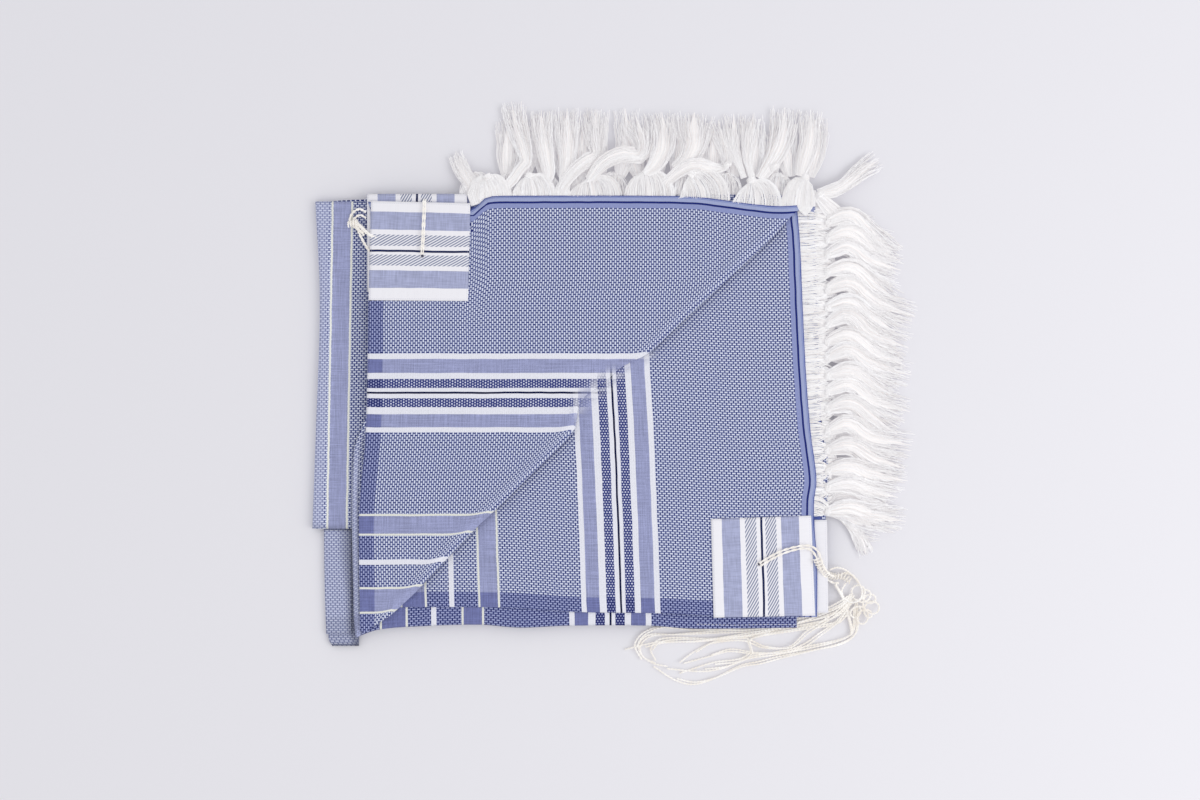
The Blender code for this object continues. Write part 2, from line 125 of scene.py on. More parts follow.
# --- The knotted corner strings -------------------------------------------------------
# Cream wool strings, looped through the eyelet of each corner patch, knotted and wound,
# and left loose at their ends. Each is a plied cord, so its plies show as slanting twists.
STRING_CREAM = "#fdfcfa"
STRING_SHADE = "#e3dcd2"


def read(rows, at):
    """The value at one place on a smooth curve through (place, value) rows."""
    at = min(max(at, rows[0][0]), rows[-1][0])
    last = len(rows) - 1
    i = max(k for k in range(last) if rows[k][0] <= at)

    def slope(k):
        a, b = rows[max(k - 1, 0)], rows[min(k + 1, last)]
        return (b[1] - a[1]) / (b[0] - a[0])

    (x0, y0), (x1, y1) = rows[i], rows[i + 1]
    span = x1 - x0
    t = (at - x0) / span
    return (
        (2 * t**3 - 3 * t**2 + 1) * y0
        + (t**3 - 2 * t**2 + t) * span * slope(i)
        + (3 * t**2 - 2 * t**3) * y1
        + (t**3 - t**2) * span * slope(i + 1)
    )


def smooth_route(points, count):
    """Evenly spaced places on a smooth curve through points of any number of values."""
    spaced = [0.0]
    for a, b in zip(points, points[1:]):
        spaced.append(spaced[-1] + max((Vector(b[:3]) - Vector(a[:3])).length, 1e-6))
    columns = [[(s, p[i]) for s, p in zip(spaced, points)] for i in range(len(points[0]))]
    return [tuple(read(column, spaced[-1] * k / count) for column in columns)
            for k in range(count + 1)]


def finish_piece(thing, *nodes, slot):
    """Put a piece in the scene, on the shawl's one body, standing for its CAD nodes."""
    if thing.name not in bpy.context.scene.collection.objects:
        bpy.context.scene.collection.objects.link(thing)
    if thing.type == "MESH":
        thing.data.shade_smooth()
    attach(thing, "root")
    if nodes:
        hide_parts(*nodes)
    return thing


def plied_cord(name, route, radius, plies, lay_length, material, sides=6):
    """A cord of round plies twisted about its route; sizes in millimetres."""
    length = sum((Vector(b) - Vector(a)).length for a, b in zip(route, route[1:]))
    count = max(8, round(length / radius))
    centre = [Vector(p) for p in smooth_route(route, count)]
    ply_radius = radius / (1 + 1 / math.sin(math.pi / plies)) if plies > 1 else radius
    bm = bmesh.new()
    for ply in range(plies):
        ring_before = None
        travelled = 0.0
        for k, place in enumerate(centre):
            if k:
                travelled += (place - centre[k - 1]).length
            ahead = centre[min(k + 1, count)] - centre[max(k - 1, 0)]
            ahead.normalize()
            side = ahead.cross(Vector((0, 0, 1)))
            side = side.normalized() if side.length > 0.05 else Vector((1, 0, 0))
            up = side.cross(ahead)
            turn = 2 * math.pi * (travelled / lay_length + ply / plies)
            off = (side * math.cos(turn) + up * math.sin(turn)) * (radius - ply_radius)
            ring = []
            for step in range(sides):
                angle = 2 * math.pi * step / sides
                spoke = (side * math.cos(angle) + up * math.sin(angle)) * ply_radius * 1.12
                ring.append(bm.verts.new((place + off + spoke) * MM))
            if ring_before:
                for i in range(sides):
                    j = (i + 1) % sides
                    bm.faces.new((ring_before[i], ring_before[j], ring[j], ring[i]))
            else:
                bm.faces.new(ring[::-1])
            ring_before = ring
        bm.faces.new(ring_before)
    bmesh.ops.recalc_face_normals(bm, faces=bm.faces)
    mesh = bpy.data.meshes.new(name)
    bm.to_mesh(mesh)
    bm.free()
    mesh.materials.append(material)
    path = [tuple(p * MM) for p in centre]
    return bpy.data.objects.new(name, mesh), path, sum(
        (Vector(b) - Vector(a)).length for a, b in zip(path, path[1:]))


# Spun wool string: creamy, matt, slightly hairy, darker between its plies, with a faint painted
# glow.
wool_string, tree = new_material("Spun wool string")
place = add(tree, "TexCoord", output=3)
fibres = add(tree, "TexNoise", place, named={"Scale": 900.0, "Detail": 3.0, "Roughness": 0.6})
patches = add(tree, "TexNoise", place, named={"Scale": 60.0, "Detail": 2.0})
both = add(tree, "Math:MULTIPLY", fibres, patches)
both = add(tree, "MapRange", both, 0.1, 0.42)
shade = add(tree, "Mix", named={0: both, 6: linear(STRING_SHADE), 7: linear(STRING_CREAM)},
            output=2, data_type="RGBA")
raised = add(tree, "Bump", named={"Strength": 0.35, "Distance": 0.0003, "Height": fibres})
# painted light: a faint emission makes the string glow brighter
surface = add(tree, "BsdfPrincipled", named={
    "Base Color": shade, "Roughness": 0.92, "Specular IOR Level": 0.15, "Sheen Weight": 0.4,
    "Sheen Roughness": 0.8, "Emission Color": linear("#f5f1ec"), "Emission Strength": 0.15,
    "Normal": raised})
add(tree, "OutputMaterial", surface)

RIGHT_LEAD = [  # x, y, z from the eyelet, over the patch, down to the wound knots
    (145, -191, 15.9), (151, -187, 16.4), (166, -179, 16.4), (186, -173.5, 16.3),
    (197, -174, 16.0), (204, -180, 15.2), (207, -188, 14.8), (211, -197, 14.4),
    (218.5, -204, 9.2), (226, -204, 3.6), (234, -202, 2.3), (242, -206, 2.3), (246, -212, 2.3),
]
UPPER_LEAD = [  # from the other eyelet, back over the patch and down behind its edge
    (-192.3, 117, 18.2), (-191.5, 130, 18.4), (-190.6, 150, 18.4), (-190, 164, 18.3),
    (-190, 169.5, 17.6), (-190, 171.6, 15.4), (-190, 172.2, 12.9),
]
LEFT_LOOP = [  # out from under the top panel, round the knot, and back under
    (-248, 160, 12.0), (-255, 163, 10.6), (-262, 159, 9.6), (-264.5, 152, 9.4),
    (-261, 146, 9.4), (-250.5, 139, 12.0),
]
LEFT_LOOP_INNER = [  # a second loop inside the first
    (-248, 154, 12.2), (-254, 157, 10.8), (-259.5, 154, 10.2), (-261.5, 149.5, 11.2),
    (-256, 143.5, 11.2), (-250, 136.5, 12.4),
]
LEFT_KNOT = [(-266, 147.5, 12.2), (-256, 150, 12.6)]
LEFT_TAIL = [  # two more, from the knot to the panel's edge
    (-262, 149, 10.8), (-258, 148.5, 11.0), (-253.5, 145.5, 11.4), (-248, 140, 12.6),
    (-243, 136.5, 14.2), (-236, 134, 13.4),
]
LEFT_TAIL_SECOND = [
    (-260, 148, 10.4), (-257, 144, 10.4), (-254, 137, 10.4), (-250, 129, 11.4), (-246, 123, 12.6),
    (-243, 120, 13.4),
]
SECOND_LEAD = [  # beside the first, down to the second knot
    (146, -193.6, 15.9), (152, -189.8, 16.4), (167, -181.8, 16.4), (186, -176.4, 16.3),
    (196, -177.4, 16.0), (201.5, -184, 15.2), (205, -194, 14.6), (212, -206, 9.6),
    (219, -211, 5.0), (226, -212, 3.6),
]
WOUND_LINE = [(201, -186, 15.4), (207, -196, 14.0), (213, -202, 9.0), (220, -205, 5.4),
              (230, -205, 4.6), (238, -210, 4.6)]
TANGLED_LINE = [(242, -222, 4.6), (252, -224, 4.6), (258, -231, 4.6), (256, -241, 4.6),
                (248, -245, 4.6), (242, -238, 6.6)]
TANGLED_LOOP = [
    (216, -198, 9.0), (224, -196, 6.4), (233, -199, 4.6), (243, -208, 4.4), (248, -217, 8.6),
    (247, -226, 11.4), (240, -231, 8.6), (232, -228, 5.4), (229, -220, 3.2), (233, -212, 3.2),
]
TWISTED_STRETCH = [(222, -213, 4.4), (228, -223, 4.0), (233, -233, 3.6), (236, -246, 3.4),
                   (239, -260, 3.0), (238, -264, 2.8)]
STRAND_ROUTES = [  # x, y, z of the loose strands, on the surface and over each other
    [(240, -226, 3), (224, -240, 2.4), (196, -250, 1.2), (150, -260, 1.0), (100, -262.5, 1.0),
     (60, -264, 1.0), (36, -264, 1.6), (25, -273, 1.0), (28, -285, 1.0), (40, -293, 1.0),
     (54, -296, 1.6)],
    [(238, -228, 3.4), (222, -246, 2.6), (190, -256, 1.2), (146, -265, 1.0), (100, -268, 1.0),
     (64, -267, 1.4), (45, -269, 2.6), (37, -278, 2.4), (42, -290, 2.6)],
    [(243, -232, 3), (243, -262, 1.6), (230, -273, 1.2), (198, -280, 1.0), (166, -286, 1.0),
     (146, -291, 1.0), (128, -295, 1.0), (101, -308, 1.0), (80, -314, 1.0), (62, -310, 1.0),
     (40, -296, 2.6)],
    [(241, -236, 3.4), (239, -262, 2.6), (226, -269, 2.2), (192, -276, 2.2), (160, -282, 2.4),
     (134, -287, 2.2), (112, -297, 1.0), (90, -301, 1.0), (53, -298, 3.0)],
    [(238, -232, 4), (224, -250, 3), (206, -263, 1.6), (190, -274, 1.6), (168, -281, 3.4),
     (140, -283, 2.6), (116, -281, 1.0), (96, -286, 1.0), (70, -293, 1.0)],
    [(237, -228, 4.4), (220, -243, 3.6), (193, -261, 2.6), (176, -276, 3.2), (150, -277, 1.6),
     (130, -270, 2.4), (98, -273, 1.0), (81, -281, 1.0), (66, -292, 2.4)],
    [(240, -222, 5), (216, -236, 4), (170, -251, 2.2), (125, -257.5, 1.6), (80, -259, 1.0),
     (58, -257, 1.0), (41, -257, 1.0), (27, -264, 2.6), (21, -275, 2.4), (28, -289, 2.4)],
    [(239, -224, 5.4), (218, -239, 4.6), (172, -256, 3), (125, -266, 2), (80, -271, 2),
     (48, -271, 1.0), (30, -274, 3.2), (11, -279, 1.0)],
    [(236, -240, 3), (226, -252, 2), (188, -259, 2.4), (136, -269, 2), (137, -281, 3.6),
     (126, -288, 3.2), (100, -292, 1.6), (66, -303, 1.0)],
]


def string(name, route, radius, node=None, plies=2, lay_length=9.0):
    """One corner string."""
    thing, path, length = plied_cord(name, route, radius, plies, lay_length, wool_string)
    finish_piece(thing, *([node] if node else []), slot="string_yarn")
    return thing


string("right_lead", RIGHT_LEAD, 1.2, "string_right_lead", lay_length=15)
string("right_lead_second", SECOND_LEAD, 1.2, "string_right_lead", lay_length=15)
string("upper_lead", UPPER_LEAD, 1.0, "string_upper_lead", lay_length=15)
string("upper_lead_second", [(x + 1.9, y, z) for x, y, z in UPPER_LEAD], 1.0, "string_upper_lead",
       lay_length=15)
string("left_loop", LEFT_LOOP, 1.3, "string_left_loop")
string("left_loop_inner", LEFT_LOOP_INNER, 1.2, "string_left_loop")
string("left_tail", LEFT_TAIL, 2.1, "string_left_tail", plies=3)
string("left_tail_second", LEFT_TAIL_SECOND, 1.5, "string_left_tail")


TURN_STEPS = 12     # points to a turn of a coil


def coil(points, radius, pitch, lying=False):
    """Turns of one radius about a line, or lying in curls along it; sizes in millimetres."""
    length = sum((Vector(b) - Vector(a)).length for a, b in zip(points, points[1:]))
    count = round(length / pitch) * TURN_STEPS
    line = [Vector(p) for p in smooth_route(points, count)]
    turns = []
    for k, place in enumerate(line):
        ahead = (line[min(k + 1, count)] - line[max(k - 1, 0)]).normalized()
        side = ahead.cross(Vector((0, 0, 1))).normalized()
        angle = 2 * math.pi * k / TURN_STEPS
        if lying:
            wide = radius * (1 + 0.3 * math.sin(k / 5))
            p = place + wide * (side * math.cos(angle) + ahead * math.sin(angle))
            p.z = place.z + 1.5 * math.sin(angle)
        else:
            p = place + radius * (side * math.cos(angle) + side.cross(ahead) * math.sin(angle))
        turns.append(tuple(p))
    return turns


string("left_knot", coil(LEFT_KNOT, 2.6, 2.5), 1.0, "string_left_loop", lay_length=4)

# the strings wound round one another below the lead, then a looser, tangled stretch
string("wound_knots", coil(WOUND_LINE, 3.0, 3.0), 0.75, "string_knots", lay_length=4)
string("tangled_coil", coil(TANGLED_LINE, 6.6, 7.0, lying=True), 1.1, "string_knots", lay_length=6)
string("tangled_loop", TANGLED_LOOP, 1.0, "string_knots", lay_length=6)
string("twisted_stretch", TWISTED_STRETCH, 1.7, "string_knots", plies=3, lay_length=8)


def beside(route, number):
    """The route of a strand's fellow, which crosses it in long low humps."""
    fellow = []
    for k, (x, y, z) in enumerate(route[:-1]):
        swing = 0.9 * k + number
        fellow.append((x + 1.5, y - 2.3 * math.cos(swing), z + 1.4 * abs(math.sin(swing))))
    return fellow


for number, route in enumerate(STRAND_ROUTES):
    name = f"loose_strand_{number + 1}"
    string(name, route, 0.95, "string_strands", lay_length=7)
    string(name + "_beside", beside(route, number), 0.9, "string_strands",
           lay_length=7)

# --- The cotton ----------------------------------------------------------------------
# A yarn-dyed cotton basket weave with stripes across it. Every panel is the same cloth:
# its "cloth" map runs from the selvedge (u) and from the fringed edge (v), in metres.
WEAVE_DARK = "#1f2a6c"
WEAVE_MID = "#8089b4"
WEAVE_PALE = "#ebf0fc"
WEAVE_PLAIN_PALE = "#a9aec9"
VIOLET = "#9ba0c5"
WHITE = "#e9eaf3"
CREAM = "#e6e7e0"
NAVY_DOT = "#26327a"
PALE_DOT = "#e6eafa"
BLACK_LINE = "#101840"
BORDER_LIGHT = "#a2abd0"
BORDER_INNER = "#8f98c6"
BORDER_NAVY = "#1f2b72"
FLOAT_PITCH = 4.62      # mm along the fringed edge between floats
ROW_PITCH = 2.31        # mm between rows of floats
DOT_PITCH = 2.8         # mm across a bird's-eye band
SELVEDGE = 15.0         # mm of darker warp along each side

# where the stripes start and stop, in mm from the fringed edge
WHITE_BANDS = [(157, 162.5), (176.5, 182.5), (191.5, 195.2), (197.2, 201.7), (210.7, 217.7),
               (230.7, 235.7), (363, 368)]
CREAM_BANDS = [(317.3, 319.3), (336.9, 338.9), (390.4, 392.5), (415.1, 417.2)]
VIOLET_BANDS = [(162.5, 176.5), (217.7, 230.7), (319.5, 336.7), (392.6, 415)]
DOTTED_BANDS = [(182.5, 191.5), (201.7, 210.7)]
BLACK_BANDS = [(195.2, 197.2)]
BORDER_BANDS = [(BORDER_LIGHT, 0.8, 5.6), (BORDER_NAVY, 5.6, 7.6), (BORDER_INNER, 7.6, 12.3),
                ("#5563a4", -5, 1.0), ("#7c88bd", 1.6, 2.2)]


def within(tree, value, bands):
    """1 where value lies in any of the bands, otherwise 0."""
    total = None
    for low, high in bands:
        here = add(tree, "Math:COMPARE", value, (low + high) / 2, (high - low) / 2)
        total = here if total is None else add(tree, "Math:ADD", total, here)
    return total


def paint(tree, mask, below, above):
    """The colour above where the mask is 1, and the one below elsewhere."""
    return add(tree, "Mix", named={0: mask, 6: below, 7: above}, output=2, data_type="RGBA")


def cloth_places(tree, cloth_map="cloth"):
    """u and v on the cloth in millimetres, slightly wandering as hand-beaten rows do."""
    spot = add(tree, "UVMap", uv_map=cloth_map)
    drift = add(tree, "TexNoise", spot, named={"Scale": 45.0, "Detail": 1.0}, output=1)
    drift = add(tree, "VectorMath:SUBTRACT", drift, (0.5, 0.5, 0.5))
    drift = add(tree, "VectorMath:SCALE", drift, named={"Scale": 1.1})
    spot_mm = add(tree, "VectorMath:SCALE", spot, named={"Scale": 1000.0})
    spot_mm = add(tree, "VectorMath:ADD", spot_mm, drift)
    split = add(tree, "SeparateXYZ", spot_mm).node
    return spot_mm, split.outputs[0], split.outputs[1]


def staggered(tree, along, across, pitch, row_pitch):
    """A staggered lattice: how far a place is from its cell's middle, and its cell."""
    row = add(tree, "Math:DIVIDE", across, row_pitch)
    row_number = add(tree, "Math:FLOOR", row)
    shift = add(tree, "Math:MULTIPLY", add(tree, "Math:MODULO", row_number, 2.0), 0.5)
    place = add(tree, "Math:MULTIPLY_ADD", along, 1 / pitch, shift)
    cell = add(tree, "CombineXYZ", add(tree, "Math:FLOOR", place), row_number)
    place = add(tree, "Math:SUBTRACT", add(tree, "Math:FRACT", place), 0.5)
    over = add(tree, "Math:SUBTRACT", add(tree, "Math:FRACT", row), 0.5)
    return add(tree, "Math:ABSOLUTE", place), add(tree, "Math:ABSOLUTE", over), cell


def striped_colour(tree, cloth_map):
    """The cloth's colour, and how high its yarns stand, at a place on one of its maps."""
    soft = {"interpolation_type": "SMOOTHSTEP"}
    spot, u, v = cloth_places(tree, cloth_map)
    along, over, cell = staggered(tree, u, v, FLOAT_PITCH, ROW_PITCH)
    dash = add(tree, "Math:MULTIPLY", add(tree, "MapRange", along, 0.36, 0.26, **soft),
               add(tree, "MapRange", over, 0.32, 0.18, **soft))
    own = add(tree, "MapRange", along, 0.35, 0.42, **soft)
    next_row = add(tree, "Math:MULTIPLY", add(tree, "MapRange", along, 0.15, 0.08, **soft),
                   add(tree, "MapRange", over, 0.28, 0.38, **soft))
    pale = add(tree, "Math:MAXIMUM", own, next_row)
    chance = add(tree, "TexWhiteNoise", cell, noise_dimensions="2D")
    uneven = add(tree, "MapRange", chance, 0.0, 1.0, 0.72, 1.0)
    colour = paint(tree, add(tree, "Math:MULTIPLY", dash, uneven), linear(WEAVE_MID),
                   linear(WEAVE_DARK))
    colour = paint(tree, add(tree, "Math:MULTIPLY", pale, uneven), colour, linear(WEAVE_PALE))

    # plain tabby bands: fine slubs along both yarns
    slub_warp = add(tree, "TexNoise", add(tree, "VectorMath:MULTIPLY", spot, (0.9, 0.03, 1)),
                    named={"Scale": 1.0, "Detail": 3.0, "Roughness": 0.6})
    slub_weft = add(tree, "TexNoise", add(tree, "VectorMath:MULTIPLY", spot, (0.03, 0.9, 1)),
                    named={"Scale": 1.0, "Detail": 3.0, "Roughness": 0.6})
    slubs = add(tree, "Math:ADD", slub_warp, slub_weft)
    slub_light = add(tree, "MapRange", slubs, 0.7, 1.3, 0.72, 1.28)
    violet = add(tree, "VectorMath:SCALE", linear(VIOLET)[:3], named={"Scale": slub_light})
    colour = paint(tree, within(tree, v, VIOLET_BANDS), colour, violet)

    # bird's-eye bands: pale dots in a navy net
    near, above, dot_cell = staggered(tree, v, u, DOT_PITCH, 1.1 * ROW_PITCH)
    far = add(tree, "VectorMath:LENGTH", add(tree, "CombineXYZ", near, above), output=1)
    dot = add(tree, "MapRange", far, 0.40, 0.20, **soft)
    dot_chance = add(tree, "TexWhiteNoise", dot_cell, noise_dimensions="2D")
    dot = add(tree, "Math:MULTIPLY", dot, add(tree, "MapRange", dot_chance, 0.0, 1.0, 0.55, 1.0))
    dotted = paint(tree, dot, linear(NAVY_DOT), linear(PALE_DOT))
    colour = paint(tree, within(tree, v, DOTTED_BANDS), colour, dotted)

    # the selvedge's darker warp shows everywhere but in the white stripes
    edge = add(tree, "MapRange", u, SELVEDGE + 0.6, SELVEDGE - 0.6)
    deep = add(tree, "VectorMath:MULTIPLY", colour, (0.52, 0.54, 0.72))
    colour = paint(tree, edge, colour, deep)

    bright = add(tree, "MapRange", slubs, 0.7, 1.3, 0.96, 1.04)
    white = add(tree, "VectorMath:SCALE", linear(WHITE)[:3], named={"Scale": bright})
    colour = paint(tree, within(tree, v, WHITE_BANDS), colour, white)
    colour = paint(tree, within(tree, v, CREAM_BANDS), colour, linear(CREAM))
    colour = paint(tree, within(tree, v, BLACK_BANDS), colour, linear(BLACK_LINE))
    for border, low, high in BORDER_BANDS:
        colour = paint(tree, within(tree, v, [(low, high)]), colour, linear(border))
    height = add(tree, "Math:SUBTRACT", pale, dash)
    threads = add(tree, "TexNoise", spot, named={"Scale": 1.3, "Detail": 2.0})
    return colour, add(tree, "Math:MULTIPLY_ADD", threads, 0.8, height)


def cotton(name, crossed=False):
    """The striped cloth, mixed towards a plain paler blue on its outer turns.

    Where it is crossed, the layer on the other side shows through instead.
    """
    material, tree = new_material(name)
    colour, height = striped_colour(tree, "cloth")
    share = add(tree, "Attribute", attribute_name="second_share", output=2)
    second = striped_colour(tree, "other_layer")[0] if crossed else linear(WEAVE_PLAIN_PALE)
    colour = paint(tree, share, colour, second)
    # painted light and shade: the tone attribute darkens or lightens the colour where the mesh sets
    # it
    tone = add(tree, "Attribute", attribute_name="tone", output=2)
    colour = add(tree, "VectorMath:SCALE", colour, named={"Scale": tone})
    raised = add(tree, "Bump", named={"Strength": 0.5, "Distance": 0.00025, "Height": height})
    surface = add(tree, "BsdfPrincipled", named={
        "Base Color": colour, "Roughness": 0.9, "Specular IOR Level": 0.15,
        "Sheen Weight": 0.08, "Sheen Roughness": 0.5, "Normal": raised})
    add(tree, "OutputMaterial", surface)
    return material


basket_cotton = cotton("Yarn-dyed basket-weave cotton")
mitred_cotton = cotton("Yarn-dyed basket-weave cotton, two layers at the mitre", crossed=True)

# --- Side panel -----------------------------------------------------------------------
# The lower right half of the fringed end. Its fringed edge lies along the right side
# and its selvedge along the front; it runs in under the turned-over top panel.
CLOTH_WALL = 0.7        # mm, one layer as it is seen
DIAGONAL = [  # x, y of the rolled fold between the two panels
    (-252, -262), (-229, -243), (-202, -218), (-174, -188), (-139, -151), (-114, -128),
    (-84, -98), (-54, -69), (-40, -53), (-38, -34), (-29, -23), (-14, -13), (6, 5), (26, 16),
    (36, 25), (66, 54), (103, 88), (139, 122), (176, 156), (186, 164),
]
BACK_EDGE = [  # x, y
    (-246, 170), (-150, 168), (-144, 161), (-136, 166.5), (-128, 174), (-122, 175.5), (-100, 176),
    (40, 176), (86, 174.5), (136, 168), (166, 165.5), (190, 167),
]
LEFT_EDGE = [  # y, x
    (-262, -254), (-240, -254), (-140, -254.5), (-58, -248), (22, -246), (70, -245.6),
    (96, -243.6), (180, -243.4),
]
RIGHT_EDGE = [  # y, x
    (-248, 203), (-190, 203), (-150, 200), (-128, 200), (-108, 202.5),
    (-58, 196.5), (0, 192), (60, 189), (130, 186), (160, 183.5), (172, 183),
]
FRONT_EDGE = [  # x, y
    (-260, -235.5), (-114, -235.5), (-40, -240), (50, -241.5), (126, -245), (210, -245),
]
SIDE_Z, TOP_RETURN_Z, TOP_Z, UNDER_Z = 10.5, 12.0, 13.5, 9.0    # mid heights of the layers
TUCKED_REACH = 45.0
STRIPE_LINE = [  # y, x: the straight line that the side panel's stripes are measured from
    (-245, 203.8), (-150, 200.5), (-60, 196.6), (16, 192.2), (100, 187.5), (172, 183.5),
]
STRIPE_ORIGIN = 175.5   # y that the top panel's stripes are measured from
SIDE_CORNER = (203.0, -245.0)
SIDE_HEEL = (-221.5, -235.5)
MITRE_CORNER = (186.0, 164.0)


def ease(value, low, high):
    """0 below low, 1 above high, smooth between."""
    t = min(max((value - low) / (high - low), 0), 1)
    return t * t * (3 - 2 * t)


def blend(a, b, t):
    return a + (b - a) * t


def rise(x, y):
    """How far every end layer rises above flat: slow swells and a few soft ripples."""
    swell = 0.25 * (1 + math.sin(x / 61 + 0.7) * math.cos(y / 53))
    ripple = noise.noise(Vector((x / 46, y / 46, 3.1))) + 0.5 * noise.noise(
        Vector((x / 21, y / 21, 7.7)))
    return swell + 0.55 * ripple


def along_fold(share):
    """A point of the diagonal fold, by its share of the way from the heel."""
    at = blend(DIAGONAL[0][0], DIAGONAL[-1][0], share)
    return Vector((at, fold_y(at)))


def fold_y(x):
    """The diagonal as straight runs between its points, slightly eased."""
    for (x0, y0), (x1, y1) in zip(DIAGONAL, DIAGONAL[1:]):
        if x <= x1:
            return blend(y0, y1, (x - x0) / (x1 - x0))
    return DIAGONAL[-1][1]


def cloth_mesh(name, rows, wall=CLOTH_WALL, material=None):
    """A sheet through rows of (x, y, z, u, v, tone), in mm, with its wall.

    How far it is mixed towards a plain paler blue may follow, or u and v on the other layer and how
    much it shows.
    """
    bm = bmesh.new()
    tone = bm.verts.layers.float.new("tone")
    second_share = bm.verts.layers.float.new("second_share")
    cloth_map = bm.loops.layers.uv.new("cloth")
    other_map = bm.loops.layers.uv.new("other_layer")
    places, others = {}, {}
    grid = []
    for row in rows:
        line = []
        for x, y, z, u, v, shade_here, *crossing in row:
            vert = bm.verts.new((x * MM, y * MM, z * MM))
            vert[tone] = shade_here
            places[vert] = (u * MM, v * MM)
            other_u, other_v, vert[second_share] = crossing if len(crossing) == 3 else (
                u, v, crossing[0] if crossing else 0.0)
            others[vert] = (other_u * MM, other_v * MM)
            line.append(vert)
        grid.append(line)
    for low, high in zip(grid, grid[1:]):
        for i in range(len(low) - 1):
            face = bm.faces.new((low[i], low[i + 1], high[i + 1], high[i]))
            for loop in face.loops:
                loop[cloth_map].uv = places[loop.vert]
                loop[other_map].uv = others[loop.vert]
    bm.normal_update()
    mesh = bpy.data.meshes.new(name)
    bm.to_mesh(mesh)
    bm.free()
    mesh.materials.append(material or basket_cotton)
    thing = bpy.data.objects.new(name, mesh)
    thickness = thing.modifiers.new("Wall", "SOLIDIFY")
    thickness.thickness = wall * MM
    thickness.offset = 0
    return thing


def patch_rise(x, y):
    """The side panel is lifted where the lower corner patch lies beneath it."""
    return 1.3 * ease(x, 28, 70) * ease(-y, 60, 118)


def side_z(x, y):
    return SIDE_Z + rise(x, y) + patch_rise(x, y)


def side_edge_point(share):
    """Round the side panel's outer edges, from its heel by the front corner to the mitre."""
    if share < 0.5:
        x = blend(SIDE_HEEL[0], SIDE_CORNER[0], share * 2)
        return Vector((x, read(FRONT_EDGE, x)))
    y = blend(SIDE_CORNER[1], MITRE_CORNER[1], share * 2 - 1)
    return Vector((read(RIGHT_EDGE, y), y))


def side_cloth(x, y):
    """Where a point of the side panel lies on the cloth: the border follows the edge."""
    from_line = read(STRIPE_LINE, y) - x
    wander = read(RIGHT_EDGE, y) - read(STRIPE_LINE, y)
    return y - read(FRONT_EDGE, x), from_line + wander * (1 - ease(from_line, 15, 120))


def top_cloth(x, y):
    """Where a point of the top panel lies on the cloth."""
    from_line = STRIPE_ORIGIN - y
    wander = read(BACK_EDGE, x) - STRIPE_ORIGIN
    return x - read(LEFT_EDGE, y), from_line + wander * (1 - ease(from_line, 20, 150))


CROSSING_SHARE = 0.58   # how much of the other layer shows at the fold itself
CROSSING_REACH = 14     # mm from the fold to where it no longer shows


def crossing_share(x, y, way):
    """How much of the other layer shows: only by the fold, at the middle of the mitre."""
    in_zone = ease(x, -62, -44) * (1 - ease(x, 30, 44)) * ease(y, -40, -30)
    return CROSSING_SHARE * in_zone * (1 - ease(abs(way), 0, CROSSING_REACH))


def loose_from_mitre(x):
    """0 at the mitre's middle, where the fold is pressed flat, and 1 away from it."""
    return ease(abs(x + 6), 24, 44)


SECTIONS = 110      # across each panel, from just past the heel to just short of the mitre
FIRST_SHARE, LAST_SHARE = 0.004, 0.996
rows = []
for k in range(SECTIONS + 1):
    share = blend(FIRST_SHARE, LAST_SHARE, k / SECTIONS)
    x = blend(SIDE_HEEL[0], MITRE_CORNER[0], share)
    start = Vector((x, fold_y(x)))
    end = side_edge_point(share)
    out = (end - start).normalized()
    width = (end - start).length
    tucked = min(TUCKED_REACH, 90 * min(share, 1 - share))
    row = []
    for step in range(-8, 61):
        way = tucked * step / 8 if step < 0 else width * step / 60
        p = start + out * way
        u, v = side_cloth(p.x, p.y)
        # painted shadow: the colour is darkened beside the top panel's rolled fold, less where the
        # fold is pressed flat
        painted_fold_shadow = 0.30 * math.exp(-abs(way) / 7) * ease(width, 4, 40) * loose_from_mitre(start.x)
        shows = crossing_share(start.x, start.y, way) if way > 0 else 0
        row.append((p.x, p.y, side_z(p.x, p.y), u, v, 1 - painted_fold_shadow, *top_cloth(p.x, p.y), shows))
    rows.append(row)
side_panel = cloth_mesh("side_panel", rows, material=mitred_cotton)
finish_piece(side_panel, "end_panel_side", slot="shawl_cloth")

# --- Top panel ------------------------------------------------------------------------
# The upper left half, turned over along the diagonal. The cloth rolls softly over the
# fold, and as it is folded on the bias its threads swing towards the fold.
RETURN_REACH = 55.0
ROLL_HEIGHT = 2.3       # mm that the roll stands above the panel
ROLL_WIDTH = 3.4
BIAS_PULL = 4.5         # mm that the threads swing, at the fold
BIAS_WIDTH = 12.0       # mm from the fold to where they run straight
CLEAR_STRIPE = (166, 180)   # mm from the fringed edge over which the other layer comes to show
TOP_CORNER = (-246.0, 170.0)


def top_edge_point(share):
    """Round the top panel's outer edges, from the heel by the back left corner to the mitre."""
    if share < 0.5:
        y = blend(DIAGONAL[0][1], TOP_CORNER[1], share * 2)
        return Vector((read(LEFT_EDGE, y), y))
    x = blend(TOP_CORNER[0], MITRE_CORNER[0], share * 2 - 1)
    return Vector((x, read(BACK_EDGE, x)))


